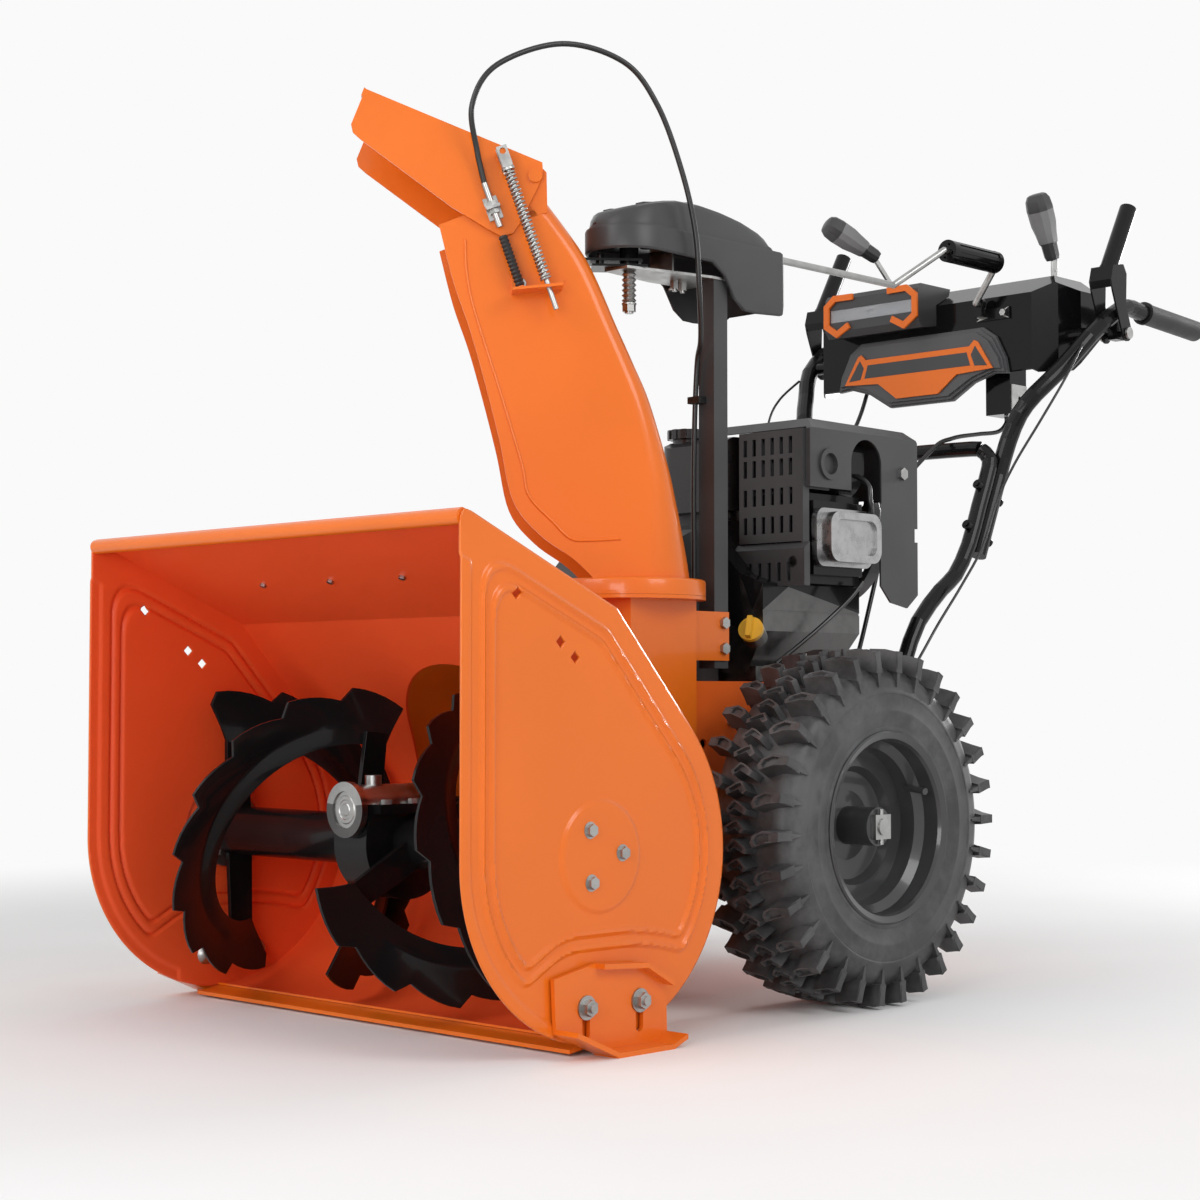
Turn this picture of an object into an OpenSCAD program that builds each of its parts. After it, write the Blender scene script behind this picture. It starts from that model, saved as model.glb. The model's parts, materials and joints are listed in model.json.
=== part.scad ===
// Two-stage walk-behind snow blower: auger housing, impeller drum, turning chute,
// engine on a wheeled frame, and a handlebar with its console and levers.
// Millimetres. Stations "y" are measured back from the housing's front edge and
// place() moves them to the origin, which is the middle of the footprint.

/* [Auger housing] */
// Width over the side plates
housing_w = 628; // [580:1:660]
// Thickness of the housing sheet
sheet_t = 2.5; // [2:0.1:4]
// Radius of the rolled barrel
barrel_r = 184; // [178:1:190]
// Auger axis height
auger_z = 195; // [193:1:205]
// Height of the crease between back and top panels
crease_z = 441; // [425:1:460]
// Slope of the top panel, degrees
top_slope = 23.6; // [18:0.2:28]
// Lean of the slanted back, degrees
back_lean = 42.4; // [38:0.2:46]
// Radius of the front roll
roll_r = 8; // [6:0.5:10]
// Width of the bead round the side plate's front edge
bead_w = 14; // [8:1:18]
// Height of the raised ribs
rib_h = 2; // [1:0.5:4]

/* [Skids] */
// Thickness of a skid
skid_t = 5; // [4:0.5:8]
// Width of the skid's sole
sole_w = 34; // [24:1:45]
// Radius of the skid bolts
skid_bolt_r = 4.7; // [4:0.1:5.5]

/* [Auger] */
// Radius of the flight's tips
flight_r = 168; // [150:1:172]
// Width of the ribbon
flight_w = 63; // [45:1:75]
// Thickness of the ribbon
flight_t = 4; // [3:0.5:6]
// Radius of the auger shaft
auger_shaft_r = 12.7; // [10:0.1:15]
// Depth of the flight's teeth
tooth_d = 15; // [6:1:20]

/* [Impeller] */
// Outer radius of the drum
drum_r = 160; // [155:1:166]
// Impeller axis height
impeller_z = 231; // [229:1:240]
// Radius of the impeller blades
impeller_r = 151; // [130:1:155]
// Radius of the impeller shaft
impeller_shaft_r = 9.5; // [8:0.1:12]

/* [Chute] */
// Sideways position of the chute's axis
chute_x = 107; // [100:1:108]
// Chute axis behind the front edge
chute_y = 446; // [444:1:448]
// Turn of the chute at rest, degrees
chute_turn = -41.5; // [-60:0.5:0]
// Outer width of the chute
chute_w = 150; // [140:1:152]
// Thickness of the chute's sheet
chute_t = 2.5; // [2:0.1:3.5]
// Radius of the collar on the tower
collar_r = 88; // [84:1:92]
// Height of the collar
collar_h = 19; // [14:1:22]
// Width of the square tower
tower_w = 109; // [100:1:112]
// Height of the tower's top
tower_top = 466; // [462:1:467]
// Thickness of the deflector's sheet
cap_t = 2.5; // [2:0.1:3]
// Radius of the deflector's pivot bolts
cap_pin_r = 4; // [3:0.1:5]

/* [Chute drive] */
// Width of the square post
post_w = 24; // [20:1:26]
// Height of the post's top
post_top = 842; // [838:1:844]
// Wall of the gear cover
cover_wall = 2.5; // [2:0.1:3.5]
// Outer radius of the gear cover's round end
cover_r = 51; // [50:1:54]
// Teeth on the ring gear
ring_teeth = 40; // [36:4:44]
// Pitch radius of the ring gear
ring_r = 42; // [41:0.5:43]
// Radius of the crank rod
crank_r = 4.5; // [3.5:0.1:5.5]
// Throw of the crank
crank_throw = 63; // [55:1:64]
// Radius of the crank's roller
roller_r = 15; // [12:0.5:17]

/* [Wheels] */
// Radius over the tread
tyre_r = 204; // [196:1:210]
// Width of the tyre
tyre_w = 122; // [110:1:126]
// Middle of the tyre from the centre line
wheel_x = 274; // [270:1:280]
// Axle behind the front edge
axle_y = 638; // [620:1:650]
// Radius of the axle
axle_r = 9.5; // [8:0.1:12]
// Radius of the rim's bead seat
rim_r = 101.5; // [98:0.5:104]
// Lugs on each shoulder
lugs = 21; // [18:1:24]

/* [Frame and engine] */
// Width of the tractor frame
frame_w = 296; // [280:1:310]
// Height of the frame's top
frame_top = 370; // [362:1:374]
// Length of the frame
frame_l = 400; // [380:1:430]
// Thickness of the frame's sheet
frame_t = 3; // [2.5:0.1:4]
// Height of the engine shroud's top
shroud_top = 686; // [676:1:696]
// Wall of the shroud
shroud_t = 2.5; // [2:0.1:3.5]
// Side of the shroud from the centre line
shroud_x = 205; // [200:1:210]

/* [Handlebar] */
// Half the distance between the hand grips
grip_x = 250; // [244:1:258]
// Radius of the upper handle tubes
tube_r = 12; // [10:0.5:12.5]
// Radius of the lower handle tube
loop_r = 10.5; // [9:0.5:11]
// Radius of the hand grips
grip_r = 14.7; // [13:0.1:17]
// Length of the hand grips
grip_l = 143; // [120:1:146]
// Rear end of the hand grips
grip_end = 1482; // [1470:1:1500]
// Height of the hand grips' ends
grip_z = 880; // [876:1:884]

/* [Console] */
// Half width of the console's front
dash_w = 181; // [170:1:184]
// Height of the console's front top edge
dash_z = 905; // [900:1:912]
// Console front behind the housing's edge
dash_y = 1165; // [1160:1:1170]
// Wall of the console
dash_t = 3; // [2.5:0.1:4]
// Width of the headlight
light_w = 166; // [150:1:170]
// Height of the headlight
light_h = 62; // [50:1:66]

/* [Hidden] */
$fn = 48;

orange = "darkorange";
black = [0.09, 0.09, 0.1];
plastic = [0.16, 0.16, 0.17];
zinc = "silver";

run = 0.05;   // radial running clearance of a shaft
gap = 0.3;    // clearance between pieces that sit on each other
front_y = -3; // front of the roll
auger_y = barrel_r + 2;
flange_bolts = [2, 122, 242];
elbow = [grip_x, 1296, 891];
grip_tip = [grip_x, grip_end, grip_z];
grip_dir = unit(grip_tip - elbow);
mid_y = (front_y + grip_end - grip_r * grip_dir[2]) / 2;
half_w = housing_w / 2;
in_w = half_w - sheet_t;

module place() { translate([0, -mid_y, 0]) children(); }
// Profiles drawn as (y, z) and pushed along x, and as (x, z) pushed along y
module yz(x0, l) { translate([x0, 0, 0]) rotate([90, 0, 90]) linear_extrude(l) children(); }
module xz(y0, l) { translate([0, y0 + l, 0]) rotate([90, 0, 0]) linear_extrude(l) children(); }
module xy(z0, l) { translate([0, 0, z0]) linear_extrude(l) children(); }
module box(a, b) { translate(a) cube([b[0] - a[0], b[1] - a[1], b[2] - a[2]]); }
module xcyl(x0, l, y, z, r) { translate([x0, y, z]) rotate([0, 90, 0]) cylinder(r = r, h = l); }
module ycyl(x, y0, l, z, r) { translate([x, y0, z]) rotate([-90, 0, 0]) cylinder(r = r, h = l); }
module zcyl(x, y, z0, l, r) { translate([x, y, z0]) cylinder(r = r, h = l); }
module hexhead(r, h) { cylinder(r = r, h = h, $fn = 6); }
module both() { children(); mirror([1, 0, 0]) children(); }

// A straight rod between two points, and a bent rod through a list of points
module rod(a, b, r) {
  v = b - a; l = norm(v);
  translate(a) rotate([0, acos(v[2] / l), atan2(v[1], v[0])]) cylinder(r = r, h = l);
}
module bent(p, r) {
  for (i = [0:len(p) - 2]) rod(p[i], p[i + 1], r);
  if (len(p) > 2) for (i = [1:len(p) - 2]) translate(p[i]) sphere(r = r + 0.02);
}
function unit(v) = v / norm(v);
// Smooth curve through hand-picked points
function cr(p, i, t) =
  let (n = len(p) - 1, a = p[max(i - 1, 0)], b = p[i], c = p[min(i + 1, n)], d = p[min(i + 2, n)])
  0.5 * (2 * b + (c - a) * t + (2 * a - 5 * b + 4 * c - d) * t * t + (3 * b - a - 3 * c + d) * t * t * t);
function smooth(p, k) =
  concat([for (i = [0:len(p) - 2]) for (j = [0:k - 1]) cr(p, i, j / k)], [p[len(p) - 1]]);
// A cord as one swept tube with flat ends
module tube(p, r, s = 8) {
  n = len(p);
  ring = [for (i = [0:n - 1])
    let (d = unit(p[min(i + 1, n - 1)] - p[max(i - 1, 0)]),
         u = unit(cross(d, abs(d[0]) < 0.9 ? [1, 0, 0] : [0, 1, 0])), v = cross(d, u))
    for (j = [0:s - 1]) p[i] + r * (cos(j * 360 / s) * u + sin(j * 360 / s) * v)];
  side = [for (i = [0:n - 2]) for (j = [0:s - 1])
    let (a = i * s + j, b = i * s + (j + 1) % s) each [[a, a + s, b + s], [a, b + s, b]]];
  polyhedron(ring, concat(side, [[for (j = [0:s - 1]) j]],
    [[for (j = [s - 1:-1:0]) (n - 1) * s + j]]), convexity = 6);
}

// ---- Auger housing ----
n_top = [sin(top_slope), cos(top_slope)];
n_back = [cos(back_lean), sin(back_lean)];
c_back = auger_y * n_back[0] + auger_z * n_back[1] + barrel_r;
crease_y = (c_back - crease_z * n_back[1]) / n_back[0];
c_top = n_top[0] * crease_y + n_top[1] * crease_z;
function meet(d) =
  let (det = n_top[0] * n_back[1] - n_top[1] * n_back[0], a = c_top - d, b = c_back - d)
  [(a * n_back[1] - b * n_top[1]) / det, (b * n_top[0] - a * n_back[0]) / det];
function top_z(y, d) = (c_top - d - n_top[0] * y) / n_top[1];
seam_a = 2;   // the slanted back runs into the barrel at this small angle
// Everything inside the housing's outline, moved in by d, from y0 back
module inside(x0, l, d, y0) {
  xcyl(x0, l, auger_y, auger_z, barrel_r - d);
  a = back_lean - seam_a;
  yz(x0, l) polygon([[auger_y, auger_z], [auger_y + (barrel_r - d) * cos(a),
    auger_z + (barrel_r - d) * sin(a)], meet(d), [y0, top_z(y0, d)], [y0, auger_z]]);
}
roll_y = front_y + roll_r;
roll_z = top_z(roll_y + roll_r, 0) - roll_r + 3;
lip_y = auger_y - 8;   // front of the barrel's floor
module housing_wrap() color(orange) place() difference() {
  union() {
    difference() {
      inside(-in_w, 2 * in_w, 0, roll_y);
      inside(-half_w, housing_w, sheet_t, -60);
      box([-half_w, -60, -60], [half_w, lip_y, crease_z - 20]);
    }
    xcyl(-in_w, 2 * in_w, roll_y, roll_z, roll_r);
  }
  ycyl(0, auger_y, 400, impeller_z, drum_r - sheet_t);
  for (x = [-150, -30, 90, 210]) zcyl(x, 120, crease_z, 200, 2.6);
}
// Bead, ribs, bearing boss and square holes of one side plate, outside at +x
module diamond(y, z) {
  translate([in_w - 20, y, z]) rotate([45, 0, 0]) translate([0, -4.5, -4.5]) cube([60, 9, 9]);
}
module rib(d, w) difference() {
  intersection() {
    inside(half_w - 0.5, rib_h + 0.5, d, d);
    box([0, d, 95], [housing_w, 500, 600]);
  }
  inside(half_w - 2, rib_h + 4, d + w, d + w);
  box([0, 50, 0], [housing_w, 330, 95 + w]);
}
rib_run = [[33, 108], [52, 78], [78, 58], [108, 68], [132, 92], [252, 98], [292, 84]];
module rib_floor(w) yz(half_w - 0.5, rib_h + 0.5)
  for (i = [0:len(rib_run) - 2]) {
    a = rib_run[i]; b = rib_run[i + 1]; n = unit([a[1] - b[1], b[0] - a[0]]) * w / 2;
    polygon([a - n, b - n, b + n, a + n]);
  }
module side_plate() {
  difference() {
    union() {
      intersection() {
        inside(in_w, sheet_t, 0, 0);
        box([0, 0, 0], [housing_w, 600, 700]);
      }
      difference() {
        intersection() {
          inside(half_w - 0.5, rib_h + 0.5, 0, 0);
          box([0, 0, 0], [housing_w, 125, top_z(0, 46)]);
        }
        inside(half_w - 2, rib_h + 4, bead_w, bead_w);
      }
      rib(25, 6);
      rib(39, 5);
      rib_floor(6);
      xcyl(half_w - 0.5, rib_h + 0.5, auger_y, auger_z, 57);
    }
    for (a = flange_bolts) xcyl(0, housing_w, auger_y + 30 * cos(a), auger_z + 30 * sin(a), 4);
    diamond(72, 452); diamond(132, 406); diamond(152, 391);
    for (y = skid_ys) xcyl(0, housing_w, y, skid_bolt_z, skid_bolt_r);
  }
}
module side_plate_left() color(orange) place() side_plate();
module side_plate_right() color(orange) place() mirror([1, 0, 0]) side_plate();

blade_t = 4;
floor_z = auger_z - barrel_r;      // underside of the barrel
edge_z = floor_z - 8;              // the blade's scraping edge
module scraper_blade() color(zinc) place() difference() {
  yz(-in_w + 1, 2 * in_w - 2) polygon([[lip_y - 30, edge_z], [lip_y, floor_z - blade_t],
    [lip_y + 26, floor_z - blade_t], [lip_y + 26, floor_z - gap], [lip_y, floor_z - gap],
    [lip_y - 30, edge_z + blade_t]]);
  for (x = [-220, 0, 220]) zcyl(x, lip_y + 8, floor_z - 20, 40, 3.5);
}

// ---- Skids ----
skid_ys = [160, 236];
skid_bolt_z = floor_z + 37;
skid_top = skid_bolt_z + 42;
skid_x = half_w + rib_h + gap;
skid_out = [[116, skid_top - 11], [174, skid_top], [238, skid_top - 4], [275, skid_top - 24], [277, 8],
  [256, 0], [178, 0], [119, 26]];
module strip(a, b, x0, w) {
  n = unit([a[1] - b[1], b[0] - a[0]]) * skid_t;
  yz(x0, w) polygon([a, b, b + n, a + n]);
}
module skid() {
  difference() {
    yz(skid_x, skid_t) polygon(skid_out);
    for (y = skid_ys) {
      xcyl(0, housing_w, y, skid_bolt_z, skid_bolt_r + 0.6);
      xcyl(0, housing_w, y, skid_bolt_z - 26, skid_bolt_r + 0.6);
      box([0, y - skid_bolt_r - 0.6, skid_bolt_z - 26], [housing_w, y + skid_bolt_r + 0.6, skid_bolt_z]);
    }
  }
  strip([119, 26], [178, 0], skid_x, sole_w);
  box([skid_x, 176, 0], [skid_x + sole_w, 258, skid_t]);
  yz(skid_x, sole_w) polygon([[256, 0], [277, 8], [277, 13], [256, skid_t]]);
  yz(skid_x, sole_w * 0.5) polygon([[174, skid_top], [238, skid_top - 4], [275, skid_top - 24],
    [275, skid_top - 30], [237, skid_top - 9], [174, skid_top - 5]]);
}
module skid_left() color(orange) place() skid();
module skid_right() color(orange) place() mirror([1, 0, 0]) skid();
module skid_bolts() color(zinc) place() both() for (y = skid_ys) {
  x1 = skid_x + skid_t;
  xcyl(in_w - 3, x1 + 12 - in_w + 3, y, skid_bolt_z, skid_bolt_r);
  intersection() {
    translate([in_w + 6, y, skid_bolt_z]) sphere(r = 13);
    box([in_w - 9, y - 20, 0], [in_w, y + 20, 200]);
  }
  difference() {
    xcyl(x1, 2, y, skid_bolt_z, 12);
    xcyl(x1 - 1, 4, y, skid_bolt_z, skid_bolt_r);
  }
  translate([x1 + 2, y, skid_bolt_z]) rotate([0, 90, 0]) hexhead(8.5, 7);
}

// ---- Auger ----
case_w = 27;                      // half width of the gearcase at the shaft
rake_x0 = case_w + 8;             // inner end of a rake's tube
rake_x1 = in_w - 14;              // outer end of a rake's tube
rake_tube_r = auger_shaft_r + 4.5;
// One saw-toothed ribbon: radial sections from angle a0 over span, from x0 to x1
module ribbon(x0, x1, a0, span, n = 36) {
  r0 = flight_r - flight_w;
  p = [for (i = [0:n]) let (t = i / n, a = a0 + span * t, x = x0 + (x1 - x0) * t,
        r1 = flight_r - tooth_d * (1 - (i % 4) / 3) * (i == 0 || i == n ? 0.6 : 1))
       for (q = [[r0, -flight_t / 2], [r1, -flight_t / 2], [r1, flight_t / 2], [r0, flight_t / 2]])
         [x + q[1], auger_y + q[0] * cos(a), auger_z + q[0] * sin(a)]];
  f = concat([[3, 2, 1, 0]], [for (i = [0:n - 1]) for (j = [0:3])
        let (a = 4 * i + j, b = 4 * i + (j + 1) % 4) each [[b + 4, a + 4, a], [b, b + 4, a]]],
      [[4 * n, 4 * n + 1, 4 * n + 2, 4 * n + 3]]);
  polyhedron(p, f, convexity = 8);
}
// Flat arm from the rake's tube out to the ribbon at angle a
module rake_arm(x, a, out) translate([x, auger_y, auger_z]) rotate([a, 0, 0])
  translate([-3, auger_shaft_r + 1, -17]) cube([6, out - auger_shaft_r - 1, 34]);
module rake(a0) {
  r_in = flight_r - flight_w;
  difference() {
    union() {
      xcyl(rake_x0, rake_x1 - rake_x0, auger_y, auger_z, rake_tube_r);
      for (k = [0, 1]) {
        ribbon(rake_x0 + 16, rake_x1 - 12, a0 + 180 * k, 205);
        rake_arm(rake_x0 + 16, a0 + 8 + 180 * k, r_in + 12);
        rake_arm(rake_x1 - 12, a0 + 197 + 180 * k, r_in + 12);
      }
    }
    xcyl(0, housing_w, auger_y, auger_z, auger_shaft_r + run);
    translate([(rake_x0 + rake_x1) / 2, auger_y, auger_z]) rotate([a0, 0, 0])
      translate([0, 0, -60]) cylinder(r = 3.2, h = 120);
  }
}
rake_a = [20, 75];
module rake_left() color(black) place() rake(rake_a[0]);
module rake_right() color(black) place() mirror([1, 0, 0]) rake(rake_a[1]);
module auger_shaft() color("dimgray") place() {
  difference() {
    xcyl(gap - in_w, 2 * (in_w - gap), auger_y, auger_z, auger_shaft_r);
    for (s = [0, 1]) mirror([s, 0, 0])
      translate([(rake_x0 + rake_x1) / 2, auger_y, auger_z]) rotate([rake_a[s], 0, 0])
        translate([0, 0, -60]) cylinder(r = 3.2, h = 120);
  }
  // Shear bolts through tube and shaft
  for (s = [0, 1]) mirror([s, 0, 0])
    translate([(rake_x0 + rake_x1) / 2, auger_y, auger_z]) rotate([rake_a[s], 0, 0]) {
      translate([0, 0, -rake_tube_r - 8]) cylinder(r = 3, h = 2 * rake_tube_r + 8 + gap);
      translate([0, 0, rake_tube_r + gap]) hexhead(6, 5);
    }
}
module bearing_flanges() color(zinc) place() both() {
  difference() {
    xcyl(in_w - 10, 10, auger_y, auger_z, 44);
    xcyl(0, housing_w, auger_y, auger_z, auger_shaft_r + run);
    for (a = flange_bolts) xcyl(0, housing_w, auger_y + 30 * cos(a), auger_z + 30 * sin(a), 4);
  }
  for (a = flange_bolts) {
    xcyl(in_w - 16, 16 + sheet_t + rib_h, auger_y + 30 * cos(a), auger_z + 30 * sin(a), 4);
    translate([half_w + rib_h, auger_y + 30 * cos(a), auger_z + 30 * sin(a)])
      rotate([0, 90, 0]) { cylinder(r = 8.5, h = 1.5); translate([0, 0, 1.5]) hexhead(6.5, 5); }
  }
}
// Cast worm gearcase: round worm barrel above, gear bulb below, split flange with bolts
module auger_gearcase() color(black) place() difference() {
  union() {
    intersection() {
      xcyl(-case_w, 2 * case_w, auger_y, auger_z, 62);
      box([-60, auger_y - 62, 120], [60, auger_y + 62, impeller_z + 8]);
    }
    ycyl(0, auger_y - 64, 120, impeller_z, 26);
    ycyl(0, auger_y - 70, 8, impeller_z, 30);
    xcyl(-case_w - 6, 2 * case_w + 12, auger_y, auger_z, 24);
    box([-case_w - 12, auger_y - 52, impeller_z - 4], [case_w + 12, auger_y + 52, impeller_z + 6]);
    for (x = [-1, 1]) for (y = [-38, 0, 38])
      translate([x * (case_w + 5), auger_y + y, impeller_z + 6]) hexhead(6, 5);
    zcyl(0, auger_y - 30, impeller_z + 20, 16, 9);
  }
  xcyl(-housing_w, 2 * housing_w, auger_y, auger_z, auger_shaft_r + run);
  ycyl(0, auger_y + 14, 200, impeller_z, impeller_shaft_r + run);
  ycyl(0, auger_y - 71, 4, impeller_z, 20);
}

// ---- Impeller, drum and tower ----
drum_back = chute_y + tower_w / 2;
hub_y = auger_y + barrel_r + 12;   // front of the impeller's hub
module blade() {
  yz(-2.5, 5) polygon([[hub_y + 4, 0], [hub_y, 40], [hub_y + 2, impeller_r - 8], [hub_y + 12, impeller_r],
    [drum_back - 24, impeller_r], [drum_back - 20, impeller_r - 14], [drum_back - 24, 0]]);
  box([-2.5, drum_back - 29, 14], [18, drum_back - 24, impeller_r - 6]);
  box([-2.5, hub_y + 30, impeller_r - 9], [20, drum_back - 26, impeller_r - 4.5]);
}
module impeller() color(black) place() difference() {
  union() {
    ycyl(0, hub_y, drum_back - 20 - hub_y, impeller_z, 22);
    for (a = [20, 140, 260]) translate([0, 0, impeller_z]) rotate([0, a, 0]) blade();
    ycyl(0, auger_y + 16, drum_back + 26 - auger_y - 16, impeller_z, impeller_shaft_r);
  }
  for (a = [20, 140, 260]) translate([0, 0, impeller_z]) rotate([0, a, 0])
    for (r = [60, 110]) translate([-20, (hub_y + drum_back) / 2 - 9, r]) rotate([0, 90, 0])
      cylinder(r = 4, h = 40);
}
module tower_box(d, z0, z1) box([chute_x - tower_w / 2 + d, chute_y - tower_w / 2 + d, z0],
  [chute_x + tower_w / 2 - d, chute_y + tower_w / 2 - d, z1]);
module impeller_drum() color(orange) place() difference() {
  union() {
    difference() {
      ycyl(0, auger_y + 40, drum_back - auger_y - 40, impeller_z, drum_r);
      inside(-half_w, housing_w, 0, -60);
    }
    difference() {
      tower_box(0, impeller_z, tower_top);
      inside(-half_w, housing_w, 0, -60);
    }
    zcyl(chute_x, chute_y, tower_top - 4, 4, collar_r);
  }
  ycyl(0, auger_y, drum_back - sheet_t - auger_y, impeller_z, drum_r - sheet_t);
  tower_box(sheet_t, impeller_z, tower_top + 20);
  ycyl(0, drum_back - 20, 60, impeller_z, impeller_shaft_r + run);
}

// ---- Chute ----
module turned() translate([chute_x, chute_y, 0]) rotate([0, 0, chute_turn]) children();
// Front edge and back edge of the chute from the collar to the mouth, as (y, z)
chute_f = [[-38, 475], [-67, 504], [-106, 532], [-136, 570], [-151, 637], [-167, 700],
  [-184, 760], [-203, 815], [-219, 878]];
chute_b = [[70, 472], [62, 516], [50, 572], [39, 616], [18, 685], [0, 727], [-18, 767],
  [-54, 846], [-109, 922]];
chute_rc = [62, 50, 38, 28, 22, 20, 20, 20, 20];
sub = 2;
function u_section(f, b, rc, d) =
  let (l = norm(b - f), u = (b - f) / l, w = chute_w / 2 - d, e = l - d, r = rc - d,
       q = concat([[-w, 0]], [for (k = [0:5]) [-w + r - r * cos(k * 18), e - r + r * sin(k * 18)]],
         [for (k = [5:-1:0]) [w - r + r * cos(k * 18), e - r + r * sin(k * 18)]], [[w, 0]]))
  [for (p = q) [p[0], f[0] + u[0] * p[1], f[1] + u[1] * p[1]]];
module chute_shell() {
  f = smooth(chute_f, sub); b = smooth(chute_b, sub);
  rc = smooth([for (r = chute_rc) [r, 0]], sub);
  n = len(f) - 1;
  m = 14;
  p = [for (i = [0:n]) each concat(u_section(f[i], b[i], rc[i][0], 0),
        [for (k = [m - 1:-1:0]) u_section(f[i], b[i], rc[i][0], chute_t)[k]])];
  s = 2 * m;
  cap = [for (k = [0:m - 2]) [k, k + 1, s - 2 - k, s - 1 - k]];
  faces = concat([for (c = cap) [c[3], c[2], c[1], c[0]]],
    [for (i = [0:n - 1]) for (j = [0:s - 1])
      let (a = i * s + j, c = i * s + (j + 1) % s) each [[a, c, c + s], [a, c + s, a + s]]],
    [for (c = cap) [for (v = c) v + n * s]]);
  polyhedron(p, faces, convexity = 10);
}
cap_y = -112; cap_z = 934;      // deflector's pivot in the chute's own frame
collar_z = tower_top + gap;
module chute() color(orange) place() turned() difference() {
  union() {
    chute_shell();
    rotate_extrude($fn = 96) polygon([[collar_r, collar_z], [collar_r, collar_z + collar_h - 3],
      [collar_r - 3, collar_z + collar_h], [chute_w / 2 - 4, collar_z + collar_h],
      [chute_w / 2 - 4, collar_z + 6], [collar_r - 6, collar_z + 6], [collar_r - 6, collar_z]]);
    for (s = [-1, 1]) yz(s > 0 ? chute_w / 2 - chute_t : -chute_w / 2, chute_t)
      polygon([[cap_y + 14, cap_z - 40], [cap_y - 50, cap_z - 62], [cap_y - 13, cap_z + 5],
        [cap_y - 6, cap_z + 12], [cap_y + 6, cap_z + 12], [cap_y + 13, cap_z + 5]]);
    // Raised line on each side panel
    for (s = [-1, 1]) yz(s > 0 ? chute_w / 2 - 0.5 : -chute_w / 2 - 1.5, 2)
      for (i = [0:len(chute_line) - 2]) seg(chute_line[i], chute_line[i + 1], 5);
  }
  xcyl(-chute_w, 2 * chute_w, cap_y, cap_z, cap_pin_r + run);
}
chute_line = [[-190, 862], [-184, 800], [-150, 690], [-126, 610], [-118, 575], [-92, 547], [-70, 523],
  [-40, 523], [20, 530]];
module seg(a, b, w) {
  n = unit([a[1] - b[1], b[0] - a[0]]) * w / 2;
  polygon([a - n, b - n, b + n, a + n]);
}

// ---- Deflector at the chute's mouth ----
cap_x = chute_w / 2 + gap + 2.5;       // inner face of the deflector's sides
cap_out = cap_x + cap_t;
cap_side = [[-300, 1028], [-104, 949], [-103, 936], [-109, 921], [-127, 884], [-136, 869],
  [-149, 865], [-163, 872], [-205, 897], [-306, 971], [-315, 979], [-317, 988], [-302, 1026]];
module deflector() color(orange) place() turned() {
  difference() {
    union() {
      for (s = [-1, 1]) yz(s > 0 ? cap_x : -cap_out, cap_t) polygon(cap_side);
      yz(-cap_out, 2 * cap_out) polygon([[-300, 1028], [-104, 949],
        [-104 - 0.374 * cap_t, 949 - 0.927 * cap_t], [-300 - 0.374 * cap_t, 1028 - 0.927 * cap_t]]);
      yz(-cap_out, 2 * cap_out) polygon([[-300, 1028], [-303, 1020], [-306, 1021], [-302.5, 1030]]);
    }
    xcyl(-chute_w, 2 * chute_w, cap_y, cap_z, cap_pin_r);
  }
  // Shoulder bolts the deflector turns on
  for (s = [0, 1]) mirror([s, 0, 0]) {
    xcyl(chute_w / 2 - chute_t - 3, cap_out + 3.01 + chute_t - chute_w / 2, cap_y, cap_z, cap_pin_r);
    translate([cap_out, cap_y, cap_z]) rotate([0, 90, 0]) cylinder(r = 8, h = 3);
    translate([chute_w / 2 - chute_t - 5 - gap, cap_y, cap_z]) rotate([0, 90, 0]) cylinder(r = 7, h = 5);
  }
  // Clevis pin for the spring rod
  xcyl(cap_out, rod_x + 6 - cap_out, clevis[0], clevis[1], 3.5);
  xcyl(cap_out, 2, clevis[0], clevis[1], 6.5);
}
clevis = [-149, 955];
rod_x = cap_out + 17.5;
rod_hole = [-99, 810];
rod_dir = unit(rod_hole - clevis);
rod_len = norm(rod_hole - clevis) + 31;
// Local frame along the spring rod: z runs from the clevis pin down the rod
module on_rod() translate([rod_x, clevis[0], clevis[1]])
  rotate([atan2(rod_dir[0], -rod_dir[1]), 0, 0]) mirror([0, 0, 1]) children();
module spring_rod() color(zinc) place() turned() on_rod() {
  translate([0, 0, 12]) cylinder(r = 3, h = rod_len - 12);
  difference() {
    union() {
      translate([-8, -6, -6]) cube([16, 12, 24]);
      translate([0, 0, 18]) cylinder(r = 7.5, h = 3);
    }
    translate([-5, -7, -7]) cube([10, 14, 19]);
    translate([-9, 0, 0]) rotate([0, 90, 0]) cylinder(r = 3.5 + run, h = 18);
  }
}
spring_top = 21 + gap;
spring_end = norm(rod_hole - clevis) - 3 - gap;
module deflector_spring() color(zinc) place() turned() on_rod() {
  n = 34; l = (spring_end - spring_top) / n;
  rotate_extrude($fn = 24) polygon(concat([for (i = [0:n - 1]) each
    [[6.2, spring_top + i * l], [7.4, spring_top + (i + 0.5) * l]]],
    [[6.2, spring_end], [4.2, spring_end], [4.2, spring_top]]));
}
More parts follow.
